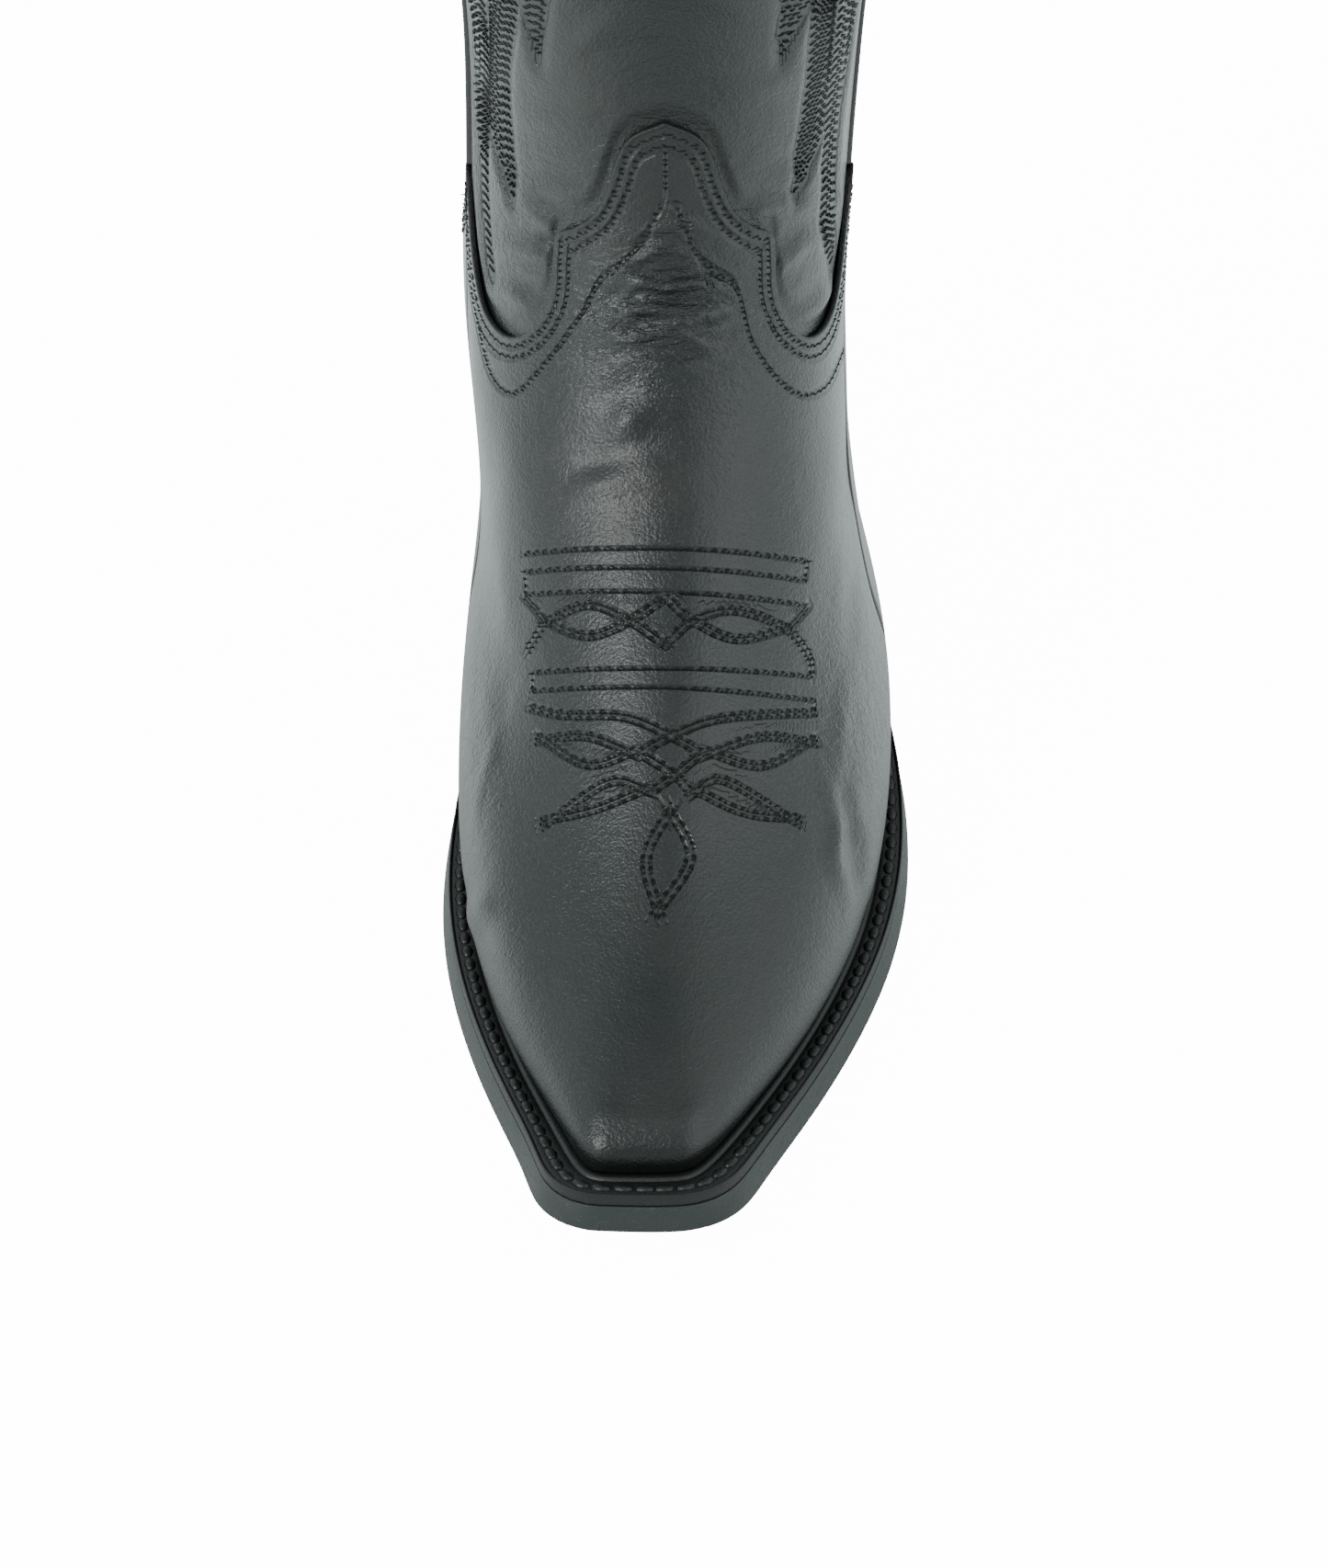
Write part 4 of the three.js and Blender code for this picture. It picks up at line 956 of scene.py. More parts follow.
def band_share(column, height, to_front, reach):
    """1 inside the bands, falling to 0 within a reach of them, in mm."""
    j = to_front(column)
    share = np.zeros(np.broadcast(column, height).shape)
    for band in LEFT_BANDS + RIGHT_BANDS:
        left, right = (curve([(p[0], p[side]) for p in band])(height) for side in (1, 2))
        outside = np.maximum(np.maximum(left - j, j - right), 0) * COLUMN_WIDTH
        beyond = np.maximum(np.maximum(band[0][0] - height, height - band[-1][0]), 0)
        share = np.maximum(share, 1 - smooth(np.hypot(outside, beyond) / reach))
    return share


def band_puff(column, height, to_front, edge_rise):
    """The shaft swells between its bands and lies low under them."""
    return PUFF_HEIGHT * (1 - band_share(column, height, to_front, PUFF_REACH)) * smooth(edge_rise / 5)


# ---- Stitched designs on the slanting plane, mm ----
EDGE_ROWS = (-1.9, -4.3)  # the two rows below a cut edge
ROW_GAP = 1.7  # between the two rows of a double line
TOE_LINES = [
    [(-31, 156.8), (0.6, 156.1), (32.2, 155.4), (31.8, 150.9), (0.6, 151.7), (-31.2, 152.7), (-31, 147.5),
     (0.6, 146.3),
     (31.8, 145.3)],
    [(32.9, 129.3), (0.6, 129.2), (-29.1, 129.7), (-29.5, 125.6), (0.5, 125), (33.7, 123.9), (33.9, 121.4)],
]
THIRD_LEFT = [(-0.8, 229), (-4.2, 223), (-9, 218.3), (-14, 215), (-18, 208.5), (-24.2, 201), (-31, 194.5),
              (-34.2, 193.5),
              (-37.4, 196), (-40.3, 202), (-43, 214)]
THIRD_RIGHT = [(2.9, 229), (4.2, 226), (6.6, 220.6), (10.5, 216.5), (14.2, 215), (16.6, 212),
               (19.5, 202.4), (25.5, 195),
               (31.5, 192.7), (37.4, 197.2), (42, 209)]
CENTRE_SEAM = [(0.3, 241), (0.3, 232)]
WAVES = [  # double rows, each a chain of smooth arcs that meet in corners
    [[(-30.2, 135), (-28.2, 138), (-25.8, 140.8), (-16.5, 144), (-7.4, 140), (0.4, 134.5)],
     [(0.4, 134.5), (6.3, 140), (15.7, 142.7), (26.8, 139.6), (32.3, 134), (33.3, 129.6)]],
    [[(-31, 147), (-28.4, 144), (-25.8, 140.8), (-16.5, 137), (-7.4, 140), (0.5, 145.2)],
     [(0.5, 145.2), (6.3, 140), (15.9, 136.3), (26.8, 139.6), (29.8, 142.2), (32.2, 145.2)]],
]
CROSSINGS = [
    [(-29.6, 121.8), (-21.8, 119.6), (-8.5, 118.6), (1.6, 114.2), (8.2, 110.5)],
    [(33.9, 121.2), (12.4, 118.4), (1.6, 114.2), (-5.2, 110.5)],
    [(8.2, 110.5), (2.3, 105.6), (-2.1, 102.4)],
    [(-5.2, 110.5), (2.3, 105.6), (5.7, 102)],
]
LEAVES = [  # each a pair of arcs between the same two points
    [[(-28.2, 114.8), (-16.8, 115.2), (-5.2, 110.5)], [(-28.2, 114.8), (-16.6, 107.6), (-5.2, 110.5)]],
    [[(33.9, 114.8), (21.4, 115.4), (8.2, 110.5)], [(33.9, 114.8), (21.5, 107.7), (8.2, 110.5)]],
    [[(-26.9, 95.4), (-12, 104.9), (-2.1, 102.4)], [(-26.9, 95.4), (-14.8, 97.6), (-2.1, 102.4)]],
    [[(30.1, 96.2), (12.9, 105.4), (5.7, 102)], [(30.1, 96.2), (17.5, 97), (5.7, 102)]],
    [[(1.4, 99.4), (-4.6, 87.5), (-1.5, 74.1)], [(1.4, 99.4), (6.5, 87.5), (-1.5, 74.1)]],
]


def edge_path(ends, line, tree):
    """The cut edge of a sheet, as a line evenly spaced along it."""
    columns = np.linspace(*ends, 3000)
    points = at_depth(columns, line(columns), 0)
    length = np.concatenate([[0], np.cumsum(np.linalg.norm(np.diff(points, axis=0), axis=1))])
    columns = np.interp(np.linspace(0, length[-1], 900), length, columns)
    return Path(to_frame(at_depth(columns, line(columns), 0)), tree, outward(columns, line(columns)))


def vamp_paths(tree):
    """All the rows sewn through the vamp, in two sets, so that close rows are in different ones."""
    edge = edge_path((-SEAM + 0.08, SEAM - 0.08), vamp_top, tree)
    first, second = ([edge.beside(distance)] for distance in EDGE_ROWS)
    for line in (THIRD_LEFT, THIRD_RIGHT):
        first.append(from_front(rounded(line), tree))
    first.append(from_front(np.array(CENTRE_SEAM, float), tree))
    first += [from_front(np.array(line, float), tree) for line in TOE_LINES]
    for chain in WAVES:
        for arc in chain:
            middle = from_front(rounded(arc), tree)
            first.append(middle.beside(ROW_GAP / 2))
            second.append(middle.beside(-ROW_GAP / 2))
    for arc in CROSSINGS:
        middle = from_front(rounded(arc), tree)
        first.append(middle.beside(ROW_GAP / 2))
        second.append(middle.beside(-ROW_GAP / 2))
    for leaf in LEAVES:
        centre = np.mean([leaf[0][1], leaf[1][1]], axis=0)
        for arc in leaf:
            outer = from_front(rounded(arc), tree)
            first.append(outer)
            second.append(outer.beside(ROW_GAP if turns_left(arc, centre) else -ROW_GAP))
    return first, second


def turns_left(arc, centre):
    """Whether a point lies to the left of an arc drawn on the slanting plane."""
    (x0, t0), (x1, t1) = arc[:2]
    return (x1 - x0) * (centre[1] - t0) - (t1 - t0) * (centre[0] - x0) > 0


class Piece:
    """What every operator of the boot shares."""

    bl_options = {"REGISTER", "UNDO"}


SIDE_GAP = 0.012  # left open on each side of a side seam, in columns
FRONT_ENDS = (-SEAM + SIDE_GAP, SEAM - SIDE_GAP)
BACK_ENDS = (SEAM + SIDE_GAP, COLUMNS - SEAM - SIDE_GAP)


def bend_share(points):
    """Where the leather is finely creased: over the throat, and a little over the ball."""
    x, t = points[..., 0], (points[..., 1] + points[..., 2]) * SLANT
    throat = np.exp(-(((t - 208) / 17) ** 2)) * np.exp(-((x / 22) ** 2))
    sides = 0.35 * smooth((np.abs(x) - 30) / 10) * np.exp(-(((t - 120) / 40) ** 2))
    return np.clip(throat + sides, 0, 1)


def painted(sheet):
    """Where painted shade darkens the vamp: the front wall of the toe, for its shade and dark reflection, and a thin
    line along the welt.
    """
    across = np.abs(sheet.columns) + 0 * sheet.levels
    # Painted shade and dark reflection over the toe's front wall.
    wall = (1 - smooth((sheet.levels - 1.75) / 0.4)) * (1 - smooth((across - 1.9) / 1.3))
    # Painted shade in a thin line along the welt, where the upper meets it.
    rise = sheet.outer[..., 2] - feather(sheet.outer[..., 1])
    return np.maximum(wall, 0.7 * (1 - smooth(rise / 2.4)))


class BOOT_OT_vamp(Piece, bpy.types.Operator):
    """The vamp, with the rows sewn through it"""

    bl_idname = "boot.vamp"
    bl_label = "Vamp"

    def execute(self, context):
        sewing = context.scene.boot_sewing
        sheet = Sheet(FRONT_ENDS, on_welt, vamp_top, 0, (160, 250), vamp_relief)
        first, second = vamp_paths(sheet.tree)
        sheet.sew(first, second)
        sheet.layer("bend", bend_share(sheet.outer))
        # Painted shade over the toe's front wall and along the welt.
        sheet.layer("painted_shade", painted(sheet))
        sheet.finish(OUTER_LEATHER, "vamp_leather", finish_of("vamp_leather"), "vamp_leather", ["vamp"])
        sewn("vamp_stitching", first + second, finish_of("thread"), sewing.pitch * 1000,
             sewing.radius * 1000)
        return {"FINISHED"}


class BOOT_OT_counter(Piece, bpy.types.Operator):
    """The counter cover, with the two rows along its top"""

    bl_idname = "boot.counter"
    bl_label = "Counter cover"

    def execute(self, context):
        sewing = context.scene.boot_sewing
        sheet = Sheet(BACK_ENDS, on_welt, counter_top, 0, (130, 110))
        edge = edge_path((SEAM + 0.1, COLUMNS - SEAM - 0.1), counter_top, sheet.tree)
        rows = [[edge.beside(distance)] for distance in EDGE_ROWS]
        sheet.sew(*rows)
        sheet.layer("bend", 0.15 + 0 * sheet.levels)
        sheet.finish(OUTER_LEATHER, "counter_leather", finish_of("vamp_leather"), "vamp_leather", ["counter_cover"])
        sewn("counter_stitching", rows[0] + rows[1], finish_of("thread"), sewing.pitch * 1000,
             sewing.radius * 1000)
        return {"FINISHED"}


SHAFT_GAP = 0.135  # room for the piping on each side of its seam, in columns
SHAFT_OVERLAP = 12  # how far the shaft runs down behind the pieces below it


def shaft_panel(name, ends, lower, to_front, to_column, replaced, folds, sewing):
    def relief(column, level, points):
        around = np.linspace(-0.12, 0.12, 5)
        edge = np.mean([np.max([lower(column + d + e) for e in around], axis=0) for d in around], axis=0)
        rise = np.linalg.norm(on_form(column, level) - on_form(column, edge), axis=-1)
        rise = rise * np.sign(level - edge)
        height = band_puff(column, points[..., 2], to_front, rise)
        if folds:
            height += folded(points, folds) * smooth(rise / 4)
        return height

    def hidden(column):
        return np.mean([lower(column + d) for d in np.linspace(-0.5, 0.5, 9)], axis=0)

    sheet = Sheet(ends, shifted(hidden, -SHAFT_OVERLAP), top_line, SHAFT_DEPTH, (150, 220), relief)
    sets = [], []
    for i, row in enumerate(band_lines(to_column)):
        levels = level_at_height(row[:, 0], row[:, 1])
        shown = levels > lower(row[:, 0]) + 0.05
        if shown.sum() > 4:
            spots = at_depth(row[shown, 0], levels[shown], SHAFT_DEPTH)
            sets[i % 2].append(Path(to_frame(spots), sheet.tree))
    sheet.sew(*sets)
    near = np.exp(-(((sheet.outer[..., 2] - 140) / 30) ** 2))
    sheet.layer("bend", 0.12 + 0.3 * near)
    # Darker under the stitched bands: it stands for their close black thread, with painted shade in the troughs between
    # the rows.
    sheet.layer("painted_shade", 0.5 * band_share(sheet.columns, sheet.outer[..., 2], to_front, 0.8))
    sheet.finish(SHAFT_LEATHER, name, finish_of("shaft_leather"), "shaft_leather", [replaced])
    sewn(f"{name}_stitching", sets[0] + sets[1], finish_of("thread"), sewing.pitch * 720,
         sewing.radius * 1500, hole=False, fill=0.98, sink=0.05, facets=(5, 3))


class BOOT_OT_shaft(Piece, bpy.types.Operator):
    """The front and back of the shaft, with their stitched bands"""

    bl_idname = "boot.shaft"
    bl_label = "Shaft"

    def execute(self, context):
        sewing = context.scene.boot_sewing
        share = (LAST_COLUMN - SEAM) / SEAM

        def same(column):
            return column

        def to_back(column):
            return LAST_COLUMN - column * share

        def to_front(column):
            return (LAST_COLUMN - column) / share

        front = (-SEAM + SHAFT_GAP, SEAM - SHAFT_GAP)
        back = (SEAM + SHAFT_GAP, COLUMNS - SEAM - SHAFT_GAP)
        shaft_panel("shaft_front_leather", front, vamp_top, same, same, "shaft_front", SHAFT_FOLDS, sewing)
        shaft_panel("shaft_back_leather", back, counter_top, to_front, to_back, "shaft_back", None, sewing)
        return {"FINISHED"}


LINING_DROP = 5  # how far the lining's joints lie below the edges outside


class BOOT_OT_lining(Piece, bpy.types.Operator):
    """The four pieces of the lining"""

    bl_idname = "boot.lining"
    bl_label = "Lining"

    def execute(self, context):
        parts = [
            ("vamp_lining", FRONT_ENDS, on_welt, shifted(vamp_top, -LINING_DROP - GAP)),
            ("heel_lining", BACK_ENDS, on_welt, shifted(counter_top, -LINING_DROP - GAP)),
            ("shaft_lining_front", FRONT_ENDS, shifted(vamp_top, -LINING_DROP), top_line),
            ("shaft_lining_back", BACK_ENDS, shifted(counter_top, -LINING_DROP), top_line),
        ]
        for node, ends, low, high in parts:
            sheet = Sheet(ends, low, high, LINING_DEPTH, (72, 50))
            sheet.finish(LINING_LEATHER, f"{node}_leather", finish_of("lining_leather"), "lining_leather", [node])
        return {"FINISHED"}


PIPING_RADIUS = 1.5
BINDING_WALL, BINDING_DEPTH = 1.0, 7


class BOOT_OT_trim(Piece, bpy.types.Operator):
    """The piping in the side seams and the binding over the top line"""

    bl_idname = "boot.trim"
    bl_label = "Piping and binding"

    def execute(self, context):
        for side, column in (("lateral", SEAM), ("medial", -SEAM)):
            self.piping(side, column)
        room = 0.12
        self.binding("front", (-SEAM + room, SEAM - room), context.scene.boot_sewing)
        self.binding("back", (SEAM + room, COLUMNS - SEAM - room), context.scene.boot_sewing)
        return {"FINISHED"}

    def piping(self, side, column):
        at = np.array([float(column)])
        start = shifted(vamp_top, -1)(at)[0]
        end = shifted(top_line, -BINDING_DEPTH - 1)(at)[0]
        levels = np.linspace(start, end, 140)[:, None]
        middle = at_depth(column, levels, LINING_DEPTH - GAP - PIPING_RADIUS)
        out = outward(column, levels)
        up = unit(np.gradient(middle[:, 0], axis=0))[:, None]
        across = np.cross(up, out)
        turn = np.linspace(0, 2 * math.pi, 17)[None, :, None]
        points = middle + PIPING_RADIUS * (np.cos(turn) * out + np.sin(turn) * across)
        bm = grid(16, 139, to_frame(points))
        bmesh.ops.remove_doubles(bm, verts=list(bm.verts), dist=1e-6)
        bmesh.ops.holes_fill(bm, edges=[e for e in bm.edges if e.is_boundary], sides=20)
        bmesh.ops.recalc_face_normals(bm, faces=list(bm.faces))
        node = f"side_piping_{side}"
        sharpen(finish_piece(bm, f"{node}_bead", finish_of("trim_leather"), "boot", [node]), 60)

    def binding(self, which, ends, sewing):
        outside, inside = SHAFT_DEPTH - GAP, UPPER_DEPTH + GAP
        middle, half = (outside + inside) / 2, (inside - outside) / 2
        columns = np.linspace(*ends, 121)
        edge = top_line(columns)
        turn = np.linspace(0, math.pi, 9)[:, None]

        def fold(reach):
            low = shifted(lambda c: edge, -BINDING_DEPTH)(columns)
            rows = [at_depth(columns, lerp(low, edge, t), middle - reach) for t in (0, 0.04, 0.35, 0.7)]
            top = at_depth(columns, edge, middle - reach * np.cos(turn))
            top[..., 2] += GAP + reach * np.sin(turn)
            rows = np.concatenate([rows, top])
            inner = [at_depth(columns, lerp(low, edge, t), middle + reach) for t in (0.7, 0.35, 0.04, 0)]
            return np.concatenate([rows, inner])

        outer, inner = fold(half + BINDING_WALL), fold(half)
        outer[0] = lerp(outer[0], inner[0], 0.45)
        outer[-1] = lerp(outer[-1], inner[-1], 0.45)
        bm = grid(120, len(outer) - 1, to_frame(outer))
        tree = BVHTree.FromBMesh(bm)
        walled(bm, to_frame(inner))
        node = f"top_binding_{which}"
        piece = finish_piece(bm, f"{node}_strip", finish_of("trim_leather"), "boot", [node])
        sharpen(piece, 60)
        spots = at_depth(columns, shifted(lambda c: edge, -BINDING_DEPTH + 1.6)(columns), outside - BINDING_WALL)
        sewn(f"{node}_stitching", [Path(to_frame(spots)[3:-3], tree)], finish_of("thread"),
             sewing.pitch * 1000, sewing.radius * 1000)


STRAP_WIDTH, STRAP_THICKNESS, STRAP_RISE = 30, 1.6, 27
STRAP_OUTER_LEG, STRAP_INNER_LEG, LOOP_ROOM = 52, 46, 3


class BOOT_OT_straps(Piece, bpy.types.Operator):
    """The two pull straps, lying on the shaft outside and inside and free above the top line, sewn down on their outer
    legs
    """

    bl_idname = "boot.straps"
    bl_label = "Pull straps"

    def execute(self, context):
        for side, column, turned in (("lateral", SEAM, 1), ("medial", -SEAM, -1)):
            self.strap(side, float(column), turned, context.scene.boot_sewing)
        return {"FINISHED"}

    def strap(self, side, column, turned, sewing):
        at = np.array([column])
        edge = top_line(at)
        top = at_depth(at, edge, (SHAFT_DEPTH + UPPER_DEPTH) / 2)[0]
        outer_depth = SHAFT_DEPTH - 2 * GAP - BINDING_WALL
        inner_depth = UPPER_DEPTH + 2 * GAP + BINDING_WALL
        across = np.linspace(-0.5, 0.5, 13)
        half = (inner_depth - outer_depth) / 2
        foot = top[2] + GAP + LOOP_ROOM
        middle_rise = STRAP_RISE - half - STRAP_THICKNESS

        def leg(depth, distances):
            rows = []
            for distance in distances:
                level = shifted(lambda c: edge, -distance)(at)
                spread = np.linalg.norm(on_form(column + 0.5, level) - on_form(column - 0.5, level))
                rows.append(at_depth(column + across * STRAP_WIDTH / spread, level, depth))
            return np.array(rows)

        def loop(reach):
            rows = []
            for angle, rise in [(0, 0), (0, middle_rise * 0.5), *[(a, middle_rise) for a in np.linspace(0, math.pi, 17)],
                                (math.pi, middle_rise * 0.5), (math.pi, 0)]:
                x = top[0] + turned * reach * math.cos(angle)
                z = foot + rise + (reach * math.sin(angle) if 0 < angle < math.pi else 0)
                rows.append(np.stack([np.full(13, x), top[1] + across * STRAP_WIDTH, np.full(13, z)], 1))
            return np.array(rows)

        def whole(out):
            thick = STRAP_THICKNESS if out else 0
            down = leg(outer_depth - thick, np.linspace(STRAP_OUTER_LEG, 1, 26))
            back = leg(inner_depth + thick, np.linspace(1, STRAP_INNER_LEG, 24))
            return np.concatenate([down, loop(half + thick), back])

        outer, inner = whole(True), whole(False)
        swell = (1 - np.abs(2 * across) ** 6)[None, :, None]
        outer = lerp(outer, inner, 0.32 * (1 - swell))
        rows = len(outer) - 1
        bm = grid(12, rows, to_frame(outer))
        bmesh.ops.recalc_face_normals(bm, faces=list(bm.faces))
        tree = BVHTree.FromBMesh(bm)
        walled(bm, to_frame(inner))
        name = f"pull_strap_{side}"
        piece = finish_piece(bm, name, finish_of("trim_leather"), None)
        sharpen(piece, 60)
        start, end = to_frame(top + (0, 0, -1.0)), to_frame((top[0], top[1], foot + 1))
        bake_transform(piece)
        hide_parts(*[f"pull_strap_{part}_{side}" for part in ("outer", "inner", "loop")])
        legs = [Path(to_frame(line), tree) for line in (outer[1:25, 1], outer[1:25, 11], outer[1, 1:12])]
        sewn(f"{name}_stitching", legs, finish_of("thread"), sewing.pitch * 1000, sewing.radius * 1000)


WELT_CREASE = 0.33  # share of the welt's showing width at its crease
WAIST_END = 8.9


def even_columns(ends, count):
    """Columns evenly spaced along the edge of the upper."""
    fine = np.linspace(*ends, 2000)
    steps = np.linalg.norm(np.diff(on_form(fine, 0), axis=0), axis=1)
    length = np.concatenate([[0], np.cumsum(steps)])
    return np.interp(np.linspace(0, length[-1], count + 1), length, fine)


def strip_round_sole(name, ends, count, profile, slot, replaced):
    """A strip along the sole's edge, with a closed profile of (share of showing, mm out, mm up)."""
    columns = even_columns(ends, count)
    shows = showing(columns)
    rows = []
    for share, out, up in [*profile, profile[0]]:
        ring = (outline if share > 0.5 else rim)(columns, shows * share + out)
        ring[:, 2] = feather(ring[:, 1]) + up
        rows.append(ring)
    bm = grid(count, len(rows) - 1, to_frame(np.array(rows)))
    bmesh.ops.remove_doubles(bm, verts=list(bm.verts), dist=1e-6)
    bmesh.ops.holes_fill(bm, edges=[e for e in bm.edges if e.is_boundary], sides=60)
    bmesh.ops.recalc_face_normals(bm, faces=list(bm.faces))
    tree = BVHTree.FromBMesh(bm)
    piece = finish_piece(bm, name, finish_of(slot), "boot", replaced)
    sharpen(piece, 50)
    return columns, tree


class BOOT_OT_welt(Piece, bpy.types.Operator):
    """The welt with its lock stitches, and the rand round the heel seat"""

    bl_idname = "boot.welt"
    bl_label = "Welt"

    def execute(self, context):
        sewing = context.scene.boot_sewing
        profile = [(0, -3, 0), (0, 0.25, 0), (0.12, 0, 0.1), (0.22, 0, -0.1), (0.27, 0, -0.6), (0.32, 0, -0.35),
                   (0.44, 0, -0.45), (0.76, 0, -0.45), (0.84, 0, -0.5), (0.88, 0, -0.6), (0.93, 0, -0.1),
                   (1, -0.3, -0.05),
                   (1, -0.08, -0.15), (1, 0, -0.4), (1, 0, -3), (1, -0.15, -3.35), (1, -0.5, -3.5),
                   (0, -3, -3.5)]
        columns, tree = strip_round_sole(
            "welt_strip", (-WAIST_END, WAIST_END), 420, profile, "welt_leather", ["welt"]
        )
        line = outline(columns, showing(columns) * 0.6)
        line[:, 2] = feather(line[:, 1]) + 0.3
        path = Path(to_frame(line), tree)
        sewn("welt_stitching", [path], finish_of("welt_leather"), sewing.welt_pitch * 1000, 1.5,
             sink=0.1, hole=False, fill=1.0, flat=0.55)
        start = WAIST_END + 0.06
        rand = [(1, -6, 0), (0, 0.3, 0), (1, -0.6, 0), (1, -0.15, -0.15), (1, 0, -0.6), (1, 0, -3), (1, -0.15, -3.35),
                (1, -0.5, -3.5), (1, -6, -3.5)]
        strip_round_sole("heel_rand_strip", (start, COLUMNS - start), 150, rand, "welt_leather", ["heel_rand"])
        return {"FINISHED"}


TOE_COLUMN, HEEL_COLUMN = 2.1, 12.4
EDGE_FLARE = 1.6
INSIDE = -UPPER_DEPTH - 1.6


def plate(offset, height, along=150, across=30):
    """Points of a plate in the sole's plan, from the toe to the heel."""
    columns = even_columns((TOE_COLUMN, HEEL_COLUMN), along)
    t = np.linspace(-1, 1, across + 1)
    edge = outline if offset(columns)[0] > 0 else rim
    right, left = edge(columns, offset(columns)), edge(-columns, offset(-columns))
    points = lerp(left[:, None], right[:, None], (t[None, :, None] + 1) / 2)
    points[0] = edge(TOE_COLUMN * t, offset(TOE_COLUMN * t))
    last = LAST_COLUMN - (LAST_COLUMN - HEEL_COLUMN) * t
    points[-1] = rim(last, offset(last))
    points[..., 2] = height(points[..., 1])
    return points


class BOOT_OT_sole(Piece, bpy.types.Operator):
    """The outsole, and the insole with its sock lining"""

    bl_idname = "boot.sole"
    bl_label = "Sole"

    def execute(self, context):
        def top_edge(column):
            return showing(column)

        def bottom_edge(column):
            return showing(column) * (1 + EDGE_FLARE / 7)

        low = WELT_THICKNESS + GAP
        self.slab("outsole_leather", plate(top_edge, lambda y: feather(y) - low + 0.25),
                  plate(bottom_edge, lambda y: feather(y) - low - OUTSOLE_THICKNESS), "sole_leather", ["outsole"], 0.7)
        base = GAP
        for name, thickness, slot in (("insole", INSOLE_THICKNESS, "board"), ("sock_lining", SOCK_THICKNESS, "lining_leather")):
            top = base + thickness
            inside = lambda column: INSIDE + 0 * column
            self.slab(f"{name}_plate", plate(inside, lambda y, h=top: feather(y) + h, 80, 12),
                      plate(inside, lambda y, h=base: feather(y) + h, 80, 12), slot, [name], 0.3)
            base = top + GAP
        return {"FINISHED"}

    def slab(self, name, top, bottom, slot, replaced, round_):
        bm = grid(top.shape[1] - 1, top.shape[0] - 1, to_frame(top))
        walled(bm, to_frame(bottom))
        bevel_corners(bm, round_ / 1000)
        sharpen(finish_piece(bm, name, finish_of(slot), "boot", replaced), 50)


ROUND_SHARE = 0.62


def heel_outline(across, along, height):
    """Points of the heel's D-shaped plan at heights given by a function of y."""
    def at(level):
        front, back, width = heel_front(level), heel_back(level), heel_width(level)
        round_length = ROUND_SHARE * (back - front)
        straight = np.minimum(along * 2, 1)
        turn = math.pi / 2 * 0.97 * np.clip(2 * along - 1, 0, 1)
        half = width / 2 * np.cos(turn) * lerp(0.94, 1, straight)
        y = np.where(
            along <= 0.5, front + (back - front - round_length) * straight, back - round_length * (1 - np.sin(turn))
        )
        return np.stack([across * half, y, level + 0 * y], -1)

    flat = at(height(np.full(along.shape, float(HEEL_BREAST))))
    for _ in range(3):
        flat = at(height(flat[..., 1]))
    return flat


class BOOT_OT_heel(Piece, bpy.types.Operator):
    """The stacked heel: the wedge, the lifts and the rubber top lift"""

    bl_idname = "boot.heel"
    bl_label = "Heel"

    def execute(self, context):
        def level(value):
            return lambda y: value + 0 * y

        def under_sole(y):
            return feather(np.minimum(y, 303)) - BOTTOM_STACK - GAP

        stack = float(under_sole(np.array(heel_front(HEEL_RISE)))) - WEDGE_EDGE - CAP_THICKNESS - GAP
        lift = stack / LIFT_COUNT - GAP
        self.slice("heel_cap", level(0), level(CAP_THICKNESS), "top_lift_rubber", dimples=True)
        base = CAP_THICKNESS
        for i in range(1, LIFT_COUNT + 1):
            self.slice(f"heel_lift_{i}", level(base + 0.05), level(base + lift + GAP), "stacked_leather")
            base += lift + GAP
        self.slice("heel_wedge", level(base + 0.05), lambda y: under_sole(y) + GAP, "stacked_leather")
        return {"FINISHED"}

    def slice(self, node, low, high, slot, dimples=False):
        along, across = np.meshgrid(np.linspace(0, 1, 61), np.linspace(-1, 1, 41), indexing="ij")
        top, bottom = heel_outline(across, along, high), heel_outline(across, along, low)
        if dimples:
            for nail in [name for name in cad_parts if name.startswith("cap_nail")]:
                low_corner, high_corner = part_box(nail)
                middle = ((np.array(low_corner) + np.array(high_corner)) / 2 - SHIFT) * 1000
                away = np.hypot(bottom[..., 0] - middle[0], bottom[..., 1] - middle[1])
                bottom[..., 2] += 1.1 * (1 - smooth((away - 2.0) / 1.0))
        bm = grid(40, 60, to_frame(top))
        walled(bm, to_frame(bottom))
        bevel_corners(bm, 0.0004, segments=2)
        sharpen(finish_piece(bm, f"{node}_slice", finish_of(slot), "boot", [node]), 45)


class BOOT_OT_hidden(Piece, bpy.types.Operator):
    """The finish of the pieces that keep their solid shape: stiffeners, filler, shank and nails"""

    bl_idname = "boot.hidden"
    bl_label = "Inner pieces"

    def execute(self, context):
        slots = {"toe_box": "board", "heel_counter": "board", "cork_filler": "cork", "shank": "shank_steel"}
        for name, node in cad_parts.items():
            if node.hide_render:
                continue
            slot = slots.get(name, "nail_brass")
            for holder in node.material_slots:
                holder.material = finish_of(slot)
        return {"FINISHED"}


SOFT_BOXES = [  # place, width and height in m, and share of the side light's power
    (-1.2, -0.95, 1.3, 0.3, 0.8, 2.2), (1.5, -0.5, 1.1, 0.8, 1.6, 0.7), (0.6, -1.35, 1.5, 0.15, 0.5, 0.2),
    (0, 1.6, 1.5, 1.6, 0.8, 0.4),
]
PALE = (0.88, 1, 0.99, 1)  # the faintly green white of the surroundings


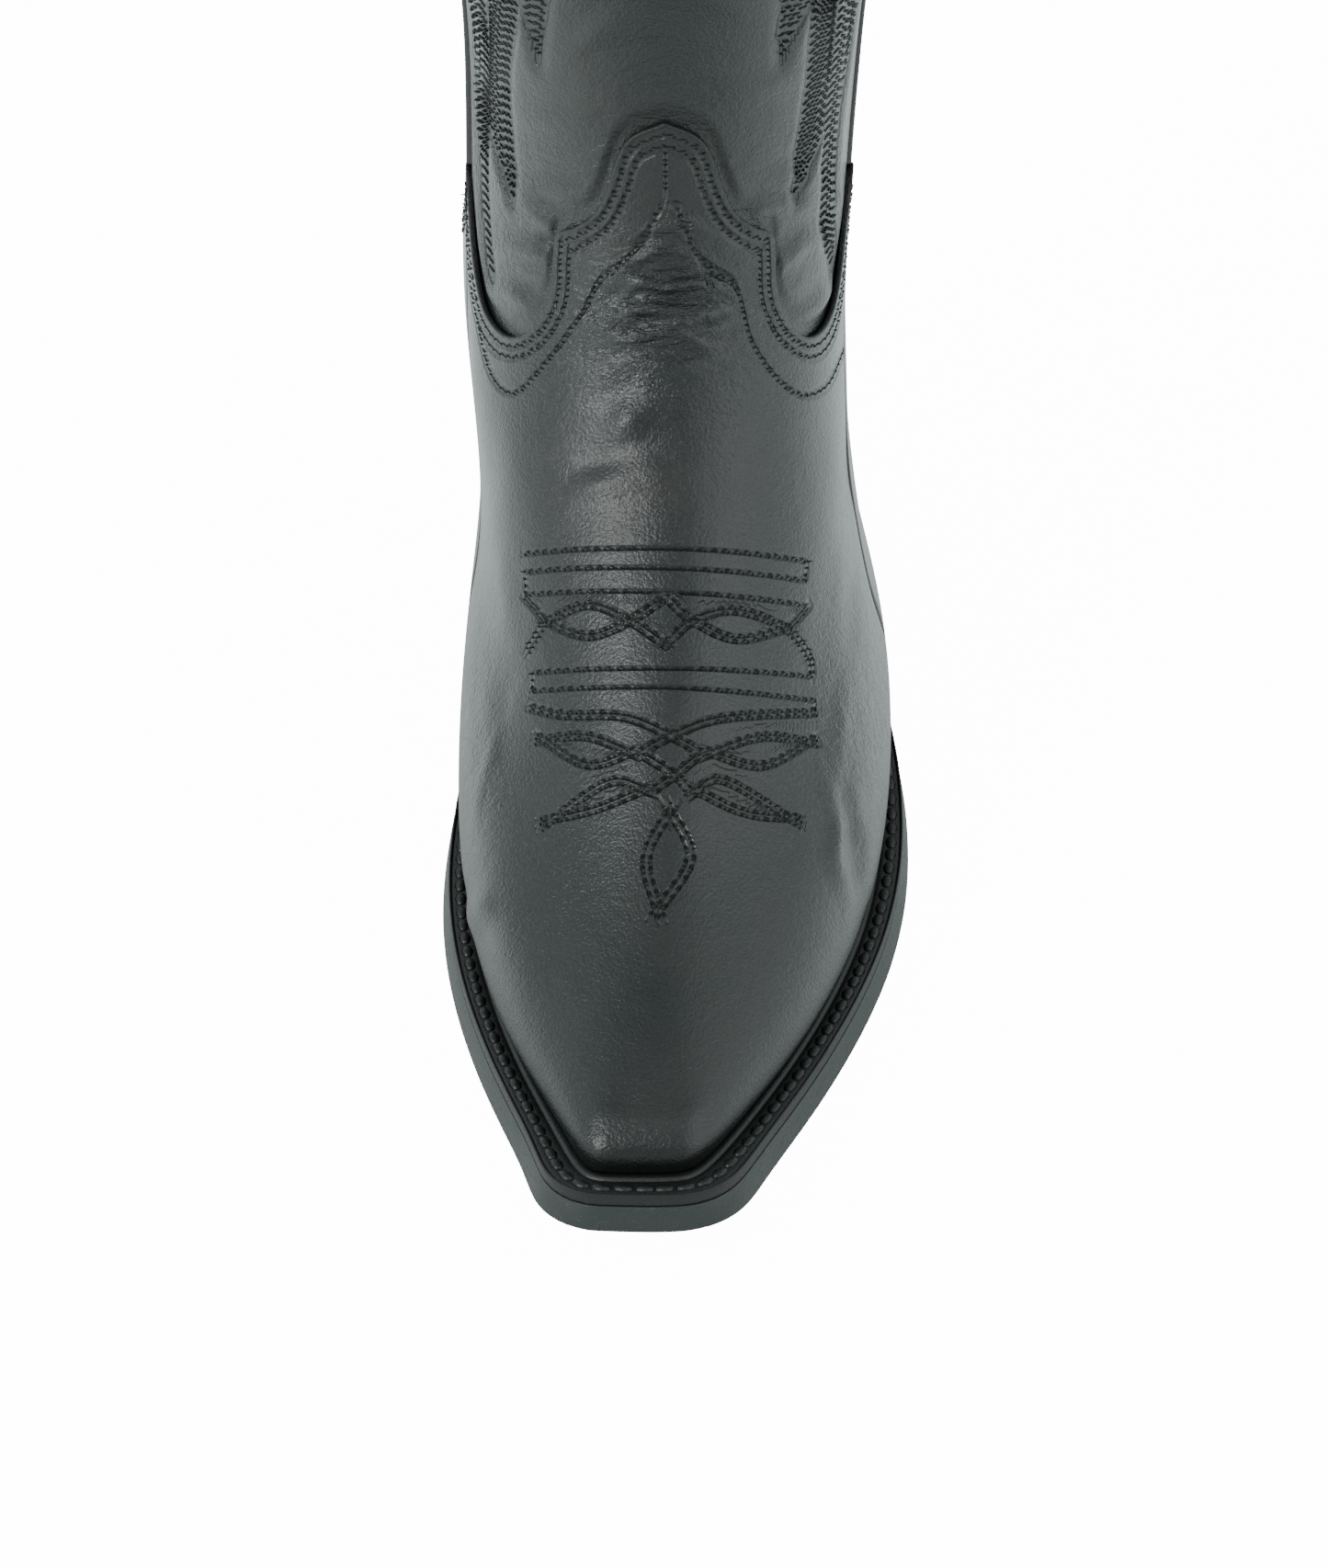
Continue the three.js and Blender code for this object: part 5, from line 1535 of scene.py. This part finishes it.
class BOOT_OT_stage(Piece, bpy.types.Operator):
    """The pale floor, the soft light and the camera"""

    bl_idname = "boot.stage"
    bl_label = "Stage"

    def execute(self, context):
        stage = context.scene.boot_stage
        self.floor()
        self.sky(context.scene)
        middle = Vector(to_frame((0, 120, 120)))
        for x, y, z, wide, tall, share in SOFT_BOXES:
            self.lamp(Vector((x, y, z)), middle, wide, tall, stage.side_light * share)
        data = bpy.data.cameras.new("camera")
        data.lens, data.sensor_width, data.sensor_fit = stage.lens, 36, "AUTO"
        data.clip_start, data.clip_end = 0.01, 50
        camera = bpy.data.objects.new("camera", data)
        camera.location = to_frame((0, -586.2, 646.7))
        camera.rotation_euler = (math.pi / 2 - stage.tilt, 0, 0)
        context.scene.collection.objects.link(camera)
        context.scene.camera = camera
        return {"FINISHED"}

    def floor(self):
        bm = bmesh.new()
        bmesh.ops.create_circle(bm, cap_ends=True, radius=12, segments=64)
        material, n, shader, place = new_material("White floor")
        shader["Base Color"].default_value = (0.4, 0.4, 0.4, 1)
        shader["Roughness"].default_value = 0.7
        ray = n.tree.nodes.new("ShaderNodeLightPath").outputs
        parts = n.add("ShaderNodeSeparateXYZ", {0: place}).node
        beside = n.ramp(n.math("ABSOLUTE", parts.outputs[0]), 0.08, 0.34)
        behind = n.ramp(parts.outputs[1], -0.14, -0.03)
        clear = n.ramp(n.math("ABSOLUTE", parts.outputs[0]), 0.05, 0.1)
        around = n.math("MAXIMUM", beside, n.math("MULTIPLY", behind, clear))
        mirrored = n.math("MULTIPLY", ray["Is Glossy Ray"], n.ramp(around, 0, 1, 0.0, 1.5))
        lit = n.math("ADD", mirrored, 0.3)
        n.join(n.mix(ray["Is Camera Ray"], PALE, (1, 1, 1, 1)), shader["Emission Color"])
        n.join(n.math("ADD", n.math("MULTIPLY", ray["Is Camera Ray"], 14), lit), shader["Emission Strength"])
        mesh = bpy.data.meshes.new("floor")
        bm.to_mesh(mesh)
        bm.free()
        mesh.materials.append(material)
        floor = bpy.data.objects.new("floor", mesh)
        floor.location = (0, 0, -0.0003)
        bpy.context.scene.collection.objects.link(floor)

    def sky(self, scene):
        """Even white surroundings with a darker band overhead, from front to back."""
        world = bpy.data.worlds.new("Studio")
        world.use_nodes = True
        n = Nodes(world.node_tree)
        background = next(node for node in n.tree.nodes if node.type == "BACKGROUND")
        place = n.tree.nodes.new("ShaderNodeTexCoord").outputs["Generated"]
        parts = n.add("ShaderNodeSeparateXYZ", {0: place}).node
        beside = n.ramp(n.math("ABSOLUTE", parts.outputs[0]), 0.12, 0.55)
        low = n.ramp(parts.outputs[2], 0.1, 0.45, 0.8, 0.0)
        above = n.ramp(parts.outputs[2], 0.88, 0.98, 0.0, 0.85)
        share = n.math("MAXIMUM", n.math("MAXIMUM", beside, low), above)
        n.join(PALE, background.inputs["Color"])
        seen = n.tree.nodes.new("ShaderNodeLightPath").outputs["Is Camera Ray"]
        lit = n.ramp(share, 0, 1, 0.1, 1.1)
        n.join(n.math("ADD", lit, n.math("MULTIPLY", seen, 12)), background.inputs["Strength"])
        scene.world = world

    def lamp(self, place, target, wide, tall, power):
        data = bpy.data.lights.new("soft_box", "AREA")
        data.shape, data.size, data.size_y, data.energy = "RECTANGLE", wide, tall, power
        light = bpy.data.objects.new("soft_box", data)
        light.location = place
        light.rotation_euler = (target - place).to_track_quat("-Z", "Y").to_euler()
        bpy.context.scene.collection.objects.link(light)


OPERATORS = (
    BOOT_OT_stage, BOOT_OT_vamp, BOOT_OT_counter, BOOT_OT_shaft, BOOT_OT_lining, BOOT_OT_trim, BOOT_OT_straps,
    BOOT_OT_welt, BOOT_OT_sole, BOOT_OT_heel, BOOT_OT_hidden,
)
SETTINGS = {"boot_finish": BootFinish, "boot_sewing": BootSewing, "boot_stage": BootStage}


class BOOT_PT_panel(bpy.types.Panel):
    """The boot's pieces and settings"""

    bl_idname = "BOOT_PT_panel"
    bl_label = "Cowboy boot"
    bl_space_type = "VIEW_3D"
    bl_region_type = "UI"
    bl_category = "Boot"

    def draw(self, context):
        for operator in OPERATORS:
            self.layout.operator(operator.bl_idname)
        for name, settings in SETTINGS.items():
            box = self.layout.box()
            for key in settings.__annotations__:
                box.prop(getattr(context.scene, name), key)


def register():
    for name, settings in SETTINGS.items():
        bpy.utils.register_class(settings)
        setattr(bpy.types.Scene, name, bpy.props.PointerProperty(type=settings))
    for operator in OPERATORS:
        bpy.utils.register_class(operator)
    bpy.utils.register_class(BOOT_PT_panel)


def unregister():
    bpy.utils.unregister_class(BOOT_PT_panel)
    for operator in reversed(OPERATORS):
        bpy.utils.unregister_class(operator)
    for name, settings in SETTINGS.items():
        delattr(bpy.types.Scene, name)
        bpy.utils.unregister_class(settings)


def main():
    register()
    for operator in OPERATORS:
        family, name = operator.bl_idname.split(".")
        getattr(getattr(bpy.ops, family), name)()
    bpy.context.view_layer.update()


if __name__ == "__main__":
    main()
